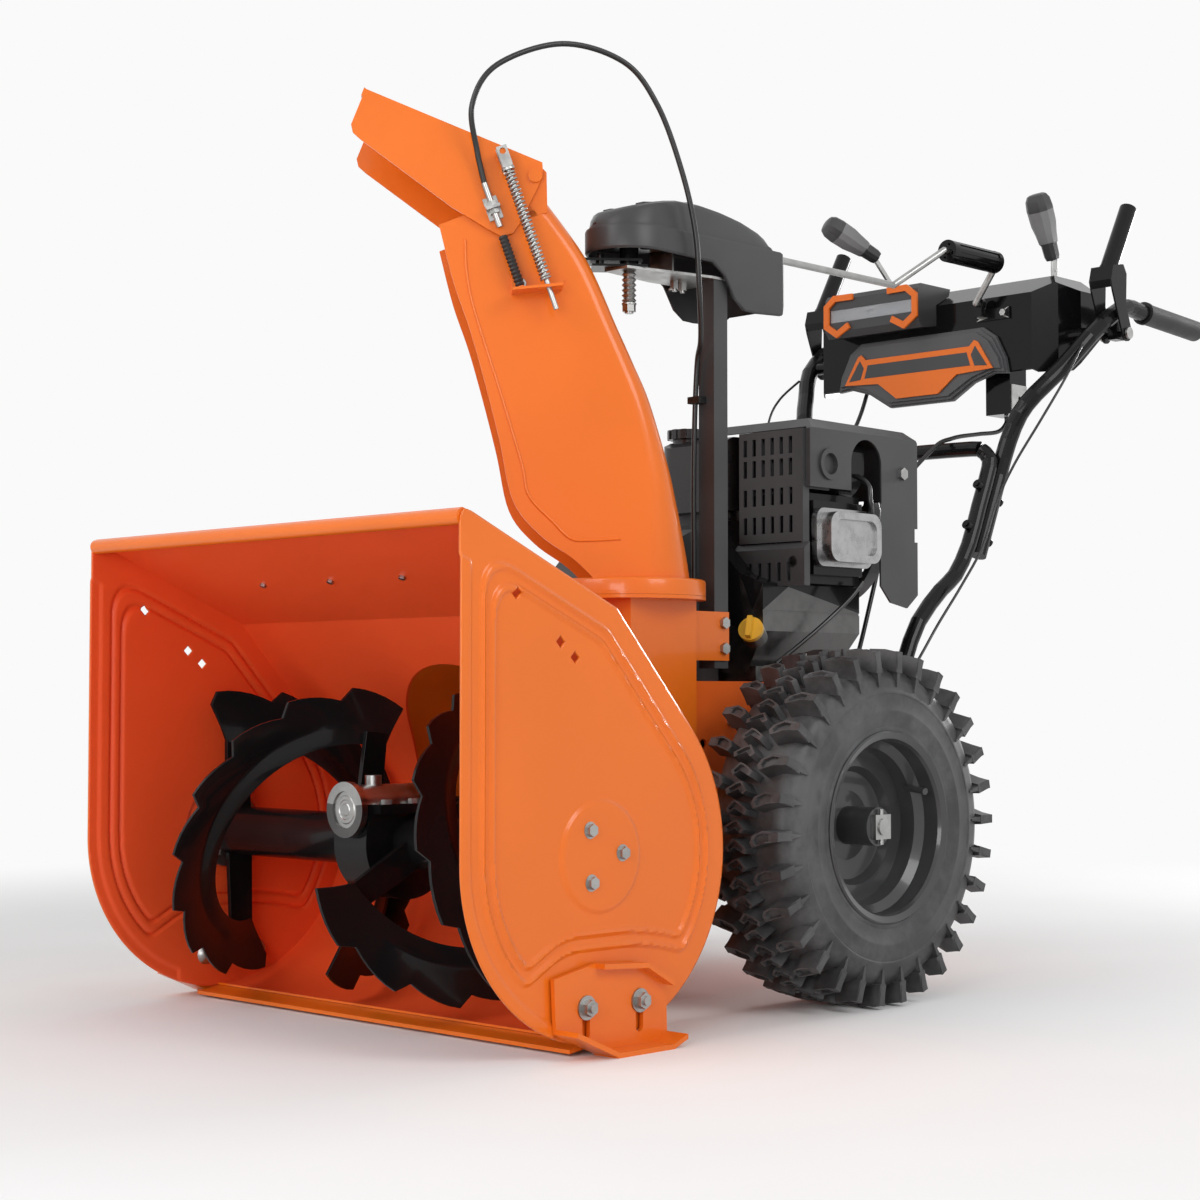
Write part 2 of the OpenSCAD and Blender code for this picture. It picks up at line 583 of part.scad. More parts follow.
// Bracket on the chute's side: slot for the rod and foot of the control wire
module chute_bracket() place() turned() {
  color(black) boot();
  color(orange) difference() {
    union() {
      yz(chute_w / 2 + 0.01, 3) polygon([[-138, 800], [-84, 804], [-78, 818], [-92, 826], [-138, 820]]);
      yz(chute_w / 2 + 0.01, rod_x + 10 - chute_w / 2) polygon([[-138, 800], [-82, 806], [-82, 809],
        [-138, 803]]);
      color(zinc) xcyl(chute_w / 2 + 3, 4, -128, 812, 6);
    }
    translate([rod_x, rod_hole[0], 0]) box([-4, -9, 780], [4, 9, 830]);
  }
}
wire_x = cap_out + 6;
module cable_ferrule() color(zinc) place() turned() {
  d = unit([-151, 873] - [-169, 923]);
  translate([wire_x, -169, 923]) rotate([atan2(d[0], -d[1]), 0, 0]) mirror([0, 0, 1]) difference() {
    union() {
      cylinder(r = 3.6, h = 52);
      translate([0, 0, 22]) hexhead(6, 5);
      translate([0, 0, 31]) hexhead(6, 5);
      translate([cap_out - wire_x, -8, 27.2]) cube([14, 16, 3.6]);
      translate([cap_out - wire_x, -8, 16]) cube([2.5, 16, 26]);
    }
    translate([0, 0, -1]) cylinder(r = 1.6, h = 60);
  }
}
// Rubber boot over the wire's lower end
module boot() rod([wire_x, -128, 806.5], [wire_x, -147.5, 862], 4.2);

// ---- Chute drive under the gear cover ----
crank_z = 895;
pin_r = 5;                       // pivot bolt of the chute's arm
arm_z = 852;                     // underside of the arm on the chute's back
plate_z = post_top;              // fixed plate lies on the post's top
pitch = 360 / ring_teeth;
pinion_r = ring_r / 4;
tooth_z = crank_z - pinion_r - 2.7;
ledge_z = tooth_z + 8;           // step in the cover, just above the ring gear's teeth
function back_y(z) = lookup(z, [for (q = smooth(chute_b, sub)) [q[1], q[0]]]);
module chute_arm() place() turned() {
  b = [for (z = [848, 874]) [back_y(z) + gap, z]];
  difference() {
    union() {
      color(orange) yz(-18, 36) polygon([b[0], b[1], b[1] + [3.7, 0], b[0] + [3.7, 0]]);
      color(orange) box([-18, b[0][0] - 2, arm_z], [18, 14, arm_z + 3]);
      color(zinc) box([-20, -44, plate_z + 3 + gap], [20, 20, arm_z - 4]);
      for (x = [-12, 12]) zcyl(x, -34, plate_z + 3 + gap, arm_z + 6 - plate_z - gap, 4);
      zcyl(0, 0, plate_z + 3 + gap, tooth_z - plate_z - 3 - gap, 11);
      color(black) zcyl(0, 0, tooth_z - 9, 9, ring_r + 4);
      color(black) for (k = [0:ring_teeth - 1]) rotate([0, 0, 90 + pitch * (k + 0.5) - chute_turn])
        translate([ring_r - 4, -1.15, tooth_z - 0.5]) cube([8, 2.3, 5]);
    }
    zcyl(0, 0, 700, 300, pin_r + run);
    for (a = [0:60:300]) rotate([0, 0, a]) zcyl(25, 0, tooth_z - 20, 40, 8);
    box([-60, -90, 840], [60, b[0][0] - 2, arm_z - 0.01]);
  }
}
module gear_plate() color(zinc) place() {
  difference() {
    union() {
      xy(plate_z, 3) polygon([[chute_x - 18, chute_y - 22], [chute_x + 18, chute_y - 22],
        [post_x1 + 2, post_y0 - 5], [post_x1 + 2, post_y1 + 3], [chute_x - 20, post_y1 + 3],
        [chute_x - 26, chute_y + 60]]);
      // Cross strip that carries the cover's side walls
      box([chute_x - cover_r + cover_wall + gap, post_y1 - 7, plate_z],
        [chute_x + cover_r - cover_wall - gap, post_y1 + 3, plate_z + 3]);
      box([chute_x - 18, chute_y + ring_r + 12, plate_z], [chute_x + 18, chute_y + ring_r + 15, crank_z + 12]);
    }
    ycyl(chute_x, chute_y, 200, crank_z, crank_r + run);
    zcyl(chute_x, chute_y, 700, 300, pin_r);
    for (y = [78, 92]) zcyl(chute_x, chute_y + y, 700, 300, 3);
  }
  for (y = [78, 92]) translate([chute_x, chute_y + y, 0]) {
    zcyl(0, 0, plate_z - 12, 15, 3);
    translate([0, 0, plate_z - 9]) hexhead(5.5, 9);
  }
  // Pivot bolt with its spring and nut below, head above the ring gear
  translate([chute_x, chute_y, 0]) {
    zcyl(0, 0, plate_z - 48, tooth_z + 1 - plate_z + 48, pin_r);
    translate([0, 0, tooth_z + gap]) hexhead(8, 4);
    translate([0, 0, plate_z - 46]) hexhead(8, 8);
    zcyl(0, 0, plate_z - 38, 2, 8.5);
    n = 6; l = 36 / n;
    translate([0, 0, plate_z - 36]) rotate_extrude() polygon(concat([[pin_r + 0.5, 36], [pin_r + 0.5, 0]],
      [for (i = [0:n - 1]) each [[pin_r + 1, i * l], [pin_r + 3.6, (i + 0.5) * l]]], [[pin_r + 1, 36]]));
  }
}
// Cover: an arched side profile cut to a round-ended plan, shelled, open below
module cover_body(d) intersection() {
  yz(chute_x - 90, 180) polygon([[chute_y - 80, 862 - d * 9], [chute_y - 80, 897 - d],
    [chute_y - 22, 913 - d], [chute_y + 40, 928 - d], [chute_y + 118, 926 - d], [chute_y + 180, 914 - d],
    [chute_y + 212 - d, 899 - d], [chute_y + 224 - d, 884 - d], [chute_y + 224 - d, 828 - d * 9],
    [chute_y + 216 - d, 812 - d * 9], [chute_y + 150, 808 - d * 9], [chute_y + 132, 816 - d * 9],
    [chute_y + 112, 846 - d * 9], [chute_y + 92, 860 - d * 9]]);
  xy(700, 400) union() {
    translate([chute_x, chute_y]) circle(r = cover_r - d, $fn = 96);
    polygon([[chute_x - cover_r + d, chute_y], [chute_x - cover_r + d, chute_y + 216 - d],
      [chute_x - cover_r + 10, chute_y + 224 - d], [chute_x + cover_r - 10, chute_y + 224 - d],
      [chute_x + cover_r - d, chute_y + 216 - d], [chute_x + cover_r - d, chute_y]]);
  }
  // Narrower hump above the ledge
  union() {
    box([0, 0, 600], [300, 900, ledge_z - d]);
    box([chute_x - cover_r + 4 + d, 0, ledge_z - 1 - d],
      [chute_x + cover_r - 4 - d, chute_y + 214 - d, 999]);
  }
}
module gear_cover() color(plastic) place() difference() {
  cover_body(0);
  cover_body(cover_wall);
  ycyl(chute_x, chute_y, 400, crank_z, crank_r + 1.5);
  // Ribs pressed into the top
  for (x = [-26, 26]) translate([chute_x + x, chute_y + 20, 929])
    rotate([-8, 0, 0]) cube([14, 90, 5], center = true);
}
// ---- Post ----
post_x0 = chute_x + 19; post_x1 = post_x0 + post_w;
post_y0 = chute_y + 99; post_y1 = post_y0 + post_w;
post_z0 = 385;
module post() color(black) place() difference() {
  box([post_x0, post_y0, post_z0], [post_x1, post_y1, post_top]);
  box([post_x0 + 2, post_y0 + 2, post_z0 - 1], [post_x1 - 2, post_y1 - 2, post_top + 1]);
  for (z = [408, 438]) xcyl(0, 300, (post_y0 + post_y1) / 2, z, 4);
}
// U-shaped bracket from the drum's back round the post
module post_bracket() place() {
  x0 = post_x0 - gap; x1 = post_x1 + gap;
  color(orange) difference() {
    box([x0 - 3, drum_back, 394], [x1 + 3, post_y1 - 2, 451]);
    box([x0, drum_back + 3, 390], [x1, post_y1 + 20, 460]);
    for (z = [408, 438]) xcyl(0, 300, (post_y0 + post_y1) / 2, z, 4);
  }
  color(orange) box([x0 - 3, drum_back, frame_top], [x1 + 3, drum_back + 3, 451]);
  color(zinc) for (z = [408, 438]) {
    xcyl(x0 - 8, x1 - x0 + 16, (post_y0 + post_y1) / 2, z, 4);
    translate([x1 + 3, (post_y0 + post_y1) / 2, z]) rotate([0, 90, 0]) hexhead(7, 5);
    translate([x0 - 8, (post_y0 + post_y1) / 2, z]) rotate([0, 90, 0]) hexhead(7, 5);
  }
}

// ---- Frame ----
fy0 = drum_back + gap; fy1 = fy0 + frame_l;
frame_z0 = 138;
axle_z = tyre_r;
module tractor_frame() place() {
  color(orange) difference() {
    yz(-frame_w / 2, frame_w) polygon([[fy0, frame_z0], [fy0, frame_top], [fy1 - 30, frame_top],
      [fy1, frame_top - 30], [fy1, frame_z0 + 40], [fy1 - 40, frame_z0]]);
    yz(-frame_w / 2 + frame_t, frame_w - 2 * frame_t) polygon([[fy0 + frame_t, frame_z0 + frame_t],
      [fy0 + frame_t, frame_top - frame_t], [fy1 - 30 - frame_t, frame_top - frame_t],
      [fy1 - frame_t, frame_top - 30 - frame_t], [fy1 - frame_t, frame_z0 + 40 + frame_t],
      [fy1 - 40 - frame_t, frame_z0 + frame_t]]);
    xcyl(-housing_w, 2 * housing_w, axle_y, axle_z, axle_r + 4);
    ycyl(0, fy0 - 10, 60, impeller_z, impeller_shaft_r + 6);
    for (s = [-1, 1]) {
      xcyl(s > 0 ? 100 : -200, 100, fy0 + 26, 297, 6);
      xcyl(s > 0 ? 100 : -200, 100, fy0 + 75, 324, 4);
    }
  }
  // Flanged axle bearings and side bolts
  color(zinc) both() {
    difference() {
      union() {
        xcyl(frame_w / 2 - frame_t - 4, 16, axle_y, axle_z, axle_r + 4);
        xcyl(frame_w / 2, 4, axle_y, axle_z, axle_r + 18);
      }
      xcyl(0, housing_w, axle_y, axle_z, axle_r + run);
    }
    xcyl(frame_w / 2 - 12, 14, fy0 + 75, 324, 4);
    translate([frame_w / 2, fy0 + 75, 324]) rotate([0, 90, 0]) hexhead(7.5, 5);
  }
}
module belt_cover() color(plastic) place() difference() {
  intersection() {
    yz(-130, 240) polygon([[fy0 + 3, frame_top + gap], [fy0 + 3, 455], [fy0 + 62, 540],
      [fy0 + 110, 556], [fy0 + 110, frame_top + gap]]);
    xz(fy0, 120) polygon([[-130, 300], [-130, 470], [-100, 560], [60, 560], [98, 500], [98, 300]]);
  }
  // Scoop that clears the turning chute
  zcyl(chute_x, chute_y, scoop_z, 200, collar_r + 18);
  box([-127, fy0 + 6, frame_top - 5], [95, fy0 + 120, scoop_z - 3]);
  box([-98, stub_y - 3, frame_top - 5], [stub_r + 5, fy0 + 120, 522]);
}
scoop_z = 440;
stub_y = fy0 + 60;                // front end of the crankshaft's stub
stub_z = 485;
stub_r = 12.5;

// ---- Engine ----
crank_y0 = fy0 + 112;             // front face of the crankcase
block_y1 = 800;
module engine_block() place() {
  z0 = frame_top + gap;
  color([0.5, 0.5, 0.5]) difference() {
    union() {
      // Base with feet, crankcase with its sloped shoulder, and the inclined barrel
      box([-110, crank_y0 + 6, z0], [150, block_y1 - 20, z0 + 18]);
      intersection() {
        xz(crank_y0 + 2, block_y1 - crank_y0 - 2) polygon([[-90, z0 + 10], [-96, 470], [-60, 545],
          [60, 570], [128, 500], [165, 487], [165, 430], [150, 400], [138, z0 + 10]]);
        yz(-120, 320) polygon([[crank_y0 + 2, z0], [crank_y0 + 2, 540], [crank_y0 + 26, 580],
          [block_y1, 580], [block_y1, 430], [block_y1 - 26, z0]]);
      }
      translate([100, 0, 0]) for (i = [0:6]) box([i * 13, head_y, 488], [i * 13 + 5, 776, 597]);
      box([95, 672, 498], [196, 766, 587]);
      translate(oil_at) rotate(oil_rot) translate([0, 0, -18]) cylinder(r = 15, h = 18);
    }
    // Oil filler and split line
    translate(oil_at) rotate(oil_rot) translate([0, 0, -20]) cylinder(r = 11 + run, h = 40);
    // Seat for the silencer guard's skirt
    box([94 - gap, guard_y - 8 - gap, 484 - gap], [shroud_x, head_y, 560]);
    box([164, crank_y0, 452], [170, block_y1, 455]);
    box([149, crank_y0, 452], [170, crank_y0 + 2.6, 455]);
  }
  color(zinc) for (y = [crank_y0 + 26, block_y1 - 60]) translate([128, y, z0 + 18]) hexhead(8, 7);
  // Crankshaft stub towards the belts, and the silencer behind its guard
  color("dimgray") ycyl(0, stub_y, crank_y0 + 2 - stub_y, stub_z, stub_r);
  color("dimgray") intersection() {
    box([104, 668, 597 + gap], [192, 776, shroud_top - 14]);
    translate([148, 640, shroud_top - 48]) rotate([-90, 0, 0]) cylinder(r = 46, h = 200);
  }
}
oil_at = [155, 606, 430];
oil_rot = [66, 0, 24];
module oil_cap() color("gold") place() translate(oil_at) rotate(oil_rot) {
  translate([0, 0, -14]) cylinder(r = 11, h = 14 + gap);
  translate([0, 0, gap]) cylinder(r = 15, h = 6);
  translate([-3, -13, gap]) cube([6, 26, 15]);
}
// Silver rocker cover: a rounded tray with a raised rim and a plain sunk face
module rounded(w, h, r) {
  translate([r, 0]) square([w - 2 * r, h]);
  translate([0, r]) square([w, h - 2 * r]);
  for (x = [r, w - r]) for (y = [r, h - r]) translate([x, y]) circle(r = r);
}
module valve_cover() color(zinc) place() translate([196 + gap, 668, 508]) difference() {
  union() {
    yz(0, 8) rounded(108, 70, 14);
    yz(6, 20) translate([5, 5]) rounded(98, 60, 16);
  }
  yz(22, 10) translate([14, 14]) rounded(80, 42, 12);
}
module louvre(x, z) box([x, 600, z - 10], [x + 5.5, 700, z + 10.5]);
guard_y = 650;
head_y = 662;                     // front of the cylinder's fins
guard_x = shroud_x - 7 - gap;
// Slotted silencer guard across the engine's front corner
module muffler_guard() color(plastic) place() difference() {
  union() {
    box([98, guard_y, 537], [guard_x, guard_y + shroud_t, shroud_top - 14]);
    yz(94, 112) polygon([[guard_y + shroud_t, 536], [guard_y - 8, 528], [guard_y - 8, 484],
      [guard_y + shroud_t, 484]]);
    box([98, guard_y, 537], [98 + shroud_t, head_y - gap, shroud_top - 14]);
    box([guard_x - shroud_t, guard_y, 484], [guard_x, head_y - gap, shroud_top - 14]);
    box([guard_x - shroud_t, guard_y, 600], [guard_x, guard_y + 50, shroud_top - 14]);
  }
  box([97, guard_y - 5, 487], [203, guard_y + 0.5, 526]);
  for (c = [0:5]) {
    for (d = [33, 59, 94, 128]) louvre(105 + 14.2 * c, shroud_top - d);
    box([104 + 15 * c, 600, 490], [109.5 + 15 * c, 700, 512]);
  }
  ycyl(188, 600, 100, 512, 7);
}
shroud_y1 = 868;                  // rear of the shroud
eye_z = shroud_top - 55;          // grommet's height
module shroud_form(d) intersection() {
  xz(guard_y + 2 * shroud_t, 213) polygon([[-62 + d, 440], [-62 + d, shroud_top - 30 - d], [-40, shroud_top - 8 - d],
    [60, shroud_top - d], [shroud_x - 16, shroud_top - d], [shroud_x - d, shroud_top - 13 - d],
    [shroud_x - d, 440]]);
  yz(-80, 320) polygon([[guard_y + 2 * shroud_t + d, 440], [guard_y + 2 * shroud_t + d, shroud_top - 14 - d],
    [guard_y + 22, shroud_top - d], [shroud_y1 - 12, shroud_top - 2 - d], [shroud_y1 - d, shroud_top - 16 - d],
    [shroud_y1 - d, 440]]);
}
module engine_shroud() color(plastic) place() {
  difference() {
    shroud_form(0);
    shroud_form(shroud_t);
    // Open below and in front where the guard stands
    box([-100, 600, 400], [shroud_x + 10, 792, shroud_top - 84]);
    box([-100, 600, 400], [shroud_x - 4, 920, shroud_top - 84]);
    box([58, 600, 400], [shroud_x - 7, 700, shroud_top - 12]);
    box([-100, 600, 400], [59.9, 802, 700]);
    // Arch over the spark plug, grommet and bolt holes
    box([150, 734, 590], [260, 794, eye_z + 5]);
    xcyl(150, 100, 764, eye_z + 5, 30);
    xcyl(150, 100, 691, eye_z, 19);
    xcyl(150, 100, 835, eye_z - 2, 4);
    // Lower corner of the rear panel
    yz(150, 100) polygon([[780, 400], [780, 500], [812, 468], [846, 462], [880, 488], [880, 400]]);
    box([150, 862, 545], [260, 880, 562]);
  }
  difference() {
    xcyl(shroud_x - 6, 9, 691, eye_z, 19);
    xcyl(shroud_x - 3, 9, 691, eye_z, 13);
  }
  color(zinc) translate([shroud_x - 6, 835, eye_z - 2]) rotate([0, 90, 0]) { cylinder(r = 4, h = 6); }
  color(zinc) translate([shroud_x, 835, eye_z - 2]) rotate([0, 90, 0]) hexhead(8, 5);
}
module fuel_tank() color(black) place() difference() {
  union() {
    intersection() {
      xy(584, 92) translate([-64, 676]) rounded(120, 122, 24);
      yz(-80, 160) polygon([[660, 600], [676, 584], [800, 584], [800, 676], [690, 676], [676, 668]]);
      xz(660, 160) polygon([[-50, 584], [-64, 600], [-64, 664], [-52, 676], [56, 676], [56, 584]]);
    }
    zcyl(tank_at[0], tank_at[1], 670, 10, 20);
    for (x = [-40, 30]) box([x, 720, case_top(x + 14) + gap], [x + 14, 780, 585]);
  }
  zcyl(tank_at[0], tank_at[1], 640, 60, 16 + run);
}
tank_at = [-36, 706];
function case_top(x) = 545 + (x + 60) * 25 / 120; // sloped top of the crankcase
module fuel_cap() color(black) place() translate([tank_at[0], tank_at[1], 680 + gap]) difference() {
  union() {
    translate([0, 0, -20]) cylinder(r = 16, h = 21);
    cylinder(r = 25, h = 12);
    for (a = [0:30:330]) rotate([0, 0, a]) translate([24, -3, 0]) cube([3, 6, 12]);
  }
  translate([0, 0, -21]) cylinder(r = 13, h = 18);
}
recoil_y = shroud_y1 + gap;
module recoil_cover() color(plastic) place() difference() {
  union() {
    ycyl(50, recoil_y, 22, 560, 92);
    ycyl(50, recoil_y, 34, 560, 40);
    box([96, recoil_y, 590], [150, recoil_y + 22, 640]);
  }
  ycyl(50, recoil_y - 1, 20, 560, 88);
  for (a = [0:20:340]) translate([50, 860, 560]) rotate([-90, a, 0])
    translate([66, 0, 0]) cylinder(r = 5, h = 60);
  ycyl(132, recoil_y + 8, 30, 622, 4);
}
module starter_handle() color(black) place() {
  ycyl(132, recoil_y + 9, 16, 622, 3.6);
  difference() {
    intersection() {
      ycyl(132, recoil_y + 22 + gap, 26, 622, 22);
      box([100, 800, 612], [160, 960, 632]);
    }
    for (x = [116, 148]) zcyl(x, recoil_y + 50, 600, 40, 10);
  }
}

// ---- Handlebar ----
side_x = frame_w / 2 + loop_r + gap;
leg_a = [165, 1036, 552]; leg_b = [166, 1083, 658];
leg_dir = unit(leg_b - leg_a);
behind = unit([0, leg_dir[2], -leg_dir[1]]);     // from the lower tube to the upper one
lap = (loop_r + tube_r + 1) * behind;
function lap_at(t) = leg_a + (leg_b - leg_a) * t;
lap_bolts = [0.2, 0.72];
loop_side = [[side_x, 866, 296], [side_x, 884, 347], [side_x, 901, 396], [side_x + 2, 929, 448], [163, 975, 490],
  [164, 1006, 511], leg_a, lap_at(0.5), leg_b, [162, 1087, 673], [152, 1086, 683], [138, 1085, 686],
  [60, 1083, 687], [0, 1083, 687]];
loop_path = concat(loop_side, [for (k = [len(loop_side) - 2:-1:0])
  [-loop_side[k][0], loop_side[k][1], loop_side[k][2]]]);
upper_side = [leg_a + lap - 4 * leg_dir, lap_at(0.5) + lap, leg_b + lap, [174, 1117, 696], [183, 1131, 733],
  [200, 1143, 760], [222, 1174, 796], [grip_x - 7, 1209, 840], [grip_x, 1255, 874], elbow,
  grip_tip - (grip_l + 5) * grip_dir, grip_tip - 4 * grip_dir];
foot = [side_x, 880, 336];         // bolt that holds the loop to the frame
module handle_loop() color(black) place() difference() {
  tube(smooth(loop_path, 2), loop_r, 16);
  both() for (t = lap_bolts) rod(lap_at(t) - 30 * behind, lap_at(t) + 30 * behind, lap_bolt_r + run);
  both() xcyl(140, 60, foot[1], foot[2], lap_bolt_r + run);
}
lap_bolt_r = 3.5;
pivot = [grip_x, 1268, 850];       // clutch lever's pivot
pivot_r = 4;
module handles() place() {
  both() {
    color(black) difference() {
      union() {
        tube(smooth(upper_side, 2), tube_r, 16);
        box([grip_x - 7, pivot[1] - 10, pivot[2] - 8], [grip_x + 7, pivot[1] + 10, pivot[2] + 26]);
      }
      for (t = lap_bolts) rod(lap_at(t) - 30 * behind, lap_at(t) + 60 * behind, lap_bolt_r + run);
      xcyl(200, 100, pivot[1], pivot[2], pivot_r + run);
    }
    // Lap bolts, frame bolts and the lever's pivot pin
    color(zinc) for (t = lap_bolts) {
      a = lap_at(t) - (loop_r + 8) * behind;
      b = lap_at(t) + lap + (tube_r + gap) * behind;
      rod(a, b, lap_bolt_r);
      rod(b, b + 4 * behind, 7);
      rod(a + 2 * behind, a + (8 - gap) * behind, 6.5);
    }
    color(zinc) xcyl(frame_w / 2, 2 * loop_r + 7, foot[1], foot[2], lap_bolt_r);
    color(zinc) translate([side_x + loop_r + gap, foot[1], foot[2]]) rotate([0, 90, 0]) hexhead(7.5, 5);
    color(zinc) xcyl(grip_x - 22, 44, pivot[1], pivot[2], pivot_r);
    color(zinc) for (x = [-22, 18.5]) xcyl(grip_x + x, 3.5, pivot[1], pivot[2], 8);
  }
}
module grips() color(plastic) place() both() difference() {
  union() {
    rod(grip_tip - grip_l * grip_dir, grip_tip, grip_r);
    rod(grip_tip - grip_l * grip_dir, grip_tip - (grip_l - 5) * grip_dir, grip_r + 1.5);
  }
  rod(grip_tip - (grip_l + 5) * grip_dir, grip_tip - 4 * grip_dir, tube_r + run);
}
lever_y = [[-36, 56], [-40, 70], [-34, 90], [-8, 94], [0, 82], [-2, 40], [11, 6], [0, -11], [-11, -3]];
module clutch_lever() translate(pivot) {
  color(black) difference() {
    union() {
      for (x = [-17.5, 15]) yz(x, 2.5) polygon(lever_y);
      for (x = [-17.5, 15]) xcyl(x, 2.5, 0, 0, 11);
      yz(-17.5, 35) polygon([[-36, 60], [-26, 62], [-16, 71], [-6, 85], [-10, 94], [-34, 90], [-40, 70]]);
      rod([0, -23, 80], [0, 34, 178], 9.5);
    }
    xcyl(-30, 60, 0, 0, pivot_r + run);
  }
  color(plastic) difference() {
    union() {
      rod([0, -20, 85.2], [0, 35, 180], 12);
      rod([0, -21, 83.5], [0, -18, 88.6], 12.8);
    }
    rod([0, -23, 80], [0, 34, 178], 9.5 + run);
  }
}
module clutch_lever_left() place() clutch_lever();
module clutch_lever_right() place() mirror([1, 0, 0]) clutch_lever();

// ---- Console ----
top_z = dash_z + 30;               // flat of the console behind its sloped strip
strip_y = 57;                      // depth of the sloped strip
back_y1 = dash_y + 125;            // console's rear edge
module dash_form(d) intersection() {
  yz(-230, 460) polygon([[dash_y + d, dash_z - d], [dash_y + strip_y, top_z - d], [back_y1 - d, top_z - d],
    [back_y1 - d, 850], [dash_y + 60, 800 - 6 * d], [dash_y + 10, 795 - 6 * d], [dash_y + d, 800 - 6 * d]]);
  xy(700, 400) polygon([for (s = [-1, 1]) each let (q = [[dash_w - d, dash_y], [dash_w + 22 - d, dash_y + 32],
    [dash_w + 31 - d, dash_y + 75], [dash_w + 31 - d, back_y1]]) s < 0 ? [for (v = q) [-v[0], v[1]]] :
    [for (k = [3:-1:0]) q[k]]]);
  xz(dash_y - 10, 200) polygon([[-dash_w - 40, 700], [-dash_w - 40, top_z - 30], [-dash_w, top_z - d],
    [dash_w, top_z - d], [dash_w + 40, top_z - 30], [dash_w + 40, 700]]);
}
speed_at = [155, dash_y + 95, 900];
cap_at = [-112, dash_y + 88, 900];
module console() color(black) place() {
  difference() {
    union() {
      difference() {
        dash_form(0);
        dash_form(dash_t);
        // Open below
        box([3 - dash_w, dash_y + dash_t, 700], [dash_w - 3, back_y1 - dash_t, 812]);
      }
      // Lever pivots hang from the top on cheeks
      for (p = [speed_at, cap_at]) for (x = [-9, 5])
        box([p[0] + x, p[1] - 9, p[2] - 9], [p[0] + x + 4, p[1] + 9, top_z - 1]);
      // Switch and cable box below the near end
      box([92, dash_y + 20, 744], [132, dash_y + 60, 830]);
      // Lugs the handle tubes are bolted to
      both() {
        xcyl(dash_w + 20, lug_x - dash_w - 20, lug_y, lug_z, 9);
      }
    }
    box([speed_at[0] - 4.6, speed_at[1] - 24, speed_at[2] + 8], [speed_at[0] + 4.6, speed_at[1] + 24, top_z + 5]);
    box([cap_at[0] - 4.6, cap_at[1] - 16, cap_at[2] + 8], [cap_at[0] + 4.6, cap_at[1] + 32, top_z + 5]);
    for (p = [speed_at, cap_at]) xcyl(p[0] - 12, 24, p[1], p[2], 4);
  }
  color(zinc) for (p = [speed_at, cap_at]) xcyl(p[0] - 10, 20, p[1], p[2], 4);
  color(zinc) difference() {
    box([132 + gap, dash_y + 22, 748], [134 + gap, dash_y + 58, 785]);
    xcyl(100, 60, dash_y + 40, 766, 3.2);
  }
}
lug_at = upper_side[7] + 0.2 * (upper_side[8] - upper_side[7]);
lug_x = lug_at[0] - tube_r - 4 * gap;
lug_y = lug_at[1];
lug_z = lug_at[2];
module shield_shape(d) polygon([[-106 + d, 864 - d], [106 - d, 864 - d], [126 - d, 850 - d], [142 - d, 818],
  [146 - d, 796 + d], [124, 798 + d], [90, 788 + d], [54 - d / 2, 766 + d], [-54 + d / 2, 766 + d], [-90, 788 + d],
  [-124, 798 + d], [-146 + d, 796 + d], [-142 + d, 818], [-126 + d, 850 - d]]);
shield_d = 14;
module console_shield() color([0.25, 0.25, 0.26]) place() difference() {
  union() {
    xz(dash_y - shield_d + 8, shield_d - 8 - gap) shield_shape(0);
    xz(dash_y - shield_d + 4, 4) shield_shape(3);
    xz(dash_y - shield_d, 4) shield_shape(7);
  }
  xz(dash_y - shield_d + 4, shield_d) shield_shape(12);
}
// Orange trim: framed badge plate with a plain sunk band, and two hooked bezels
module trim_shape() polygon([[-128, 804], [-104, 843], [-98, 846], [-90, 838], [90, 838], [98, 846],
  [104, 843], [128, 804], [68, 801], [36, 777], [-36, 777], [-68, 801]]);
module band_shape() {
  polygon([[-84, 830], [84, 830], [92, 812], [-92, 812]]);
  polygon([[-118, 810], [-97, 838], [-91, 826], [-100, 810]]);
  polygon([[118, 810], [97, 838], [91, 826], [100, 810]]);
}
trim_y = dash_y - shield_d - gap - 3;
light_x = -60;
light_z = 902;
light_y = dash_y - 43;
module shield_trim() color(orange) place() {
  difference() {
    xz(trim_y, 3) trim_shape();
    xz(trim_y - 1, 2.5) band_shape();
  }
  for (s = [-1, 1]) translate([light_x + s * (light_w / 2 - 30), 0, light_z - 1])
    mirror([s < 0 ? 1 : 0, 0, 0]) xz(light_y - 4 - gap, 4) bezel();
}
module bezel() difference() {
  polygon([[-22, 22], [-22, 31], [14, 31], [30, 18], [30, -16], [6, -31], [-20, -18], [-14, -10], [-6, -14]]);
  polygon([[-30, 8], [-30, 22], [10, 22], [21, 12], [21, -10], [7, -20], [-6, -14], [-8, 8]]);
}
module headlight() color(black) place() difference() {
  union() {
    yz(light_x - light_w / 2, light_w) polygon([[light_y, light_z - 22], [light_y, light_z + 24],
      [light_y + 6, light_z + light_h / 2], [dash_y + 34, light_z + light_h / 2], [dash_y + 30, dash_z + 17],
      [dash_y - gap, dash_z + 1], [dash_y - gap, light_z - 26], [light_y + 8, light_z - light_h / 2]]);
  }
  box([light_x - light_w / 2 + 10, light_y - 1, light_z - 9], [light_x + light_w / 2 - 10, light_y + 6, light_z + 9]);
}
module light_lens() color([0.85, 0.9, 0.95]) place() difference() {
  box([light_x - light_w / 2 + 10 + gap, light_y + gap, light_z - 9 + gap],
    [light_x + light_w / 2 - 10 - gap, light_y + 6 - gap, light_z + 9 - gap]);
  box([light_x - 6, light_y - 1, light_z - 3], [light_x + 6, light_y + 2, light_z + 3]);
}

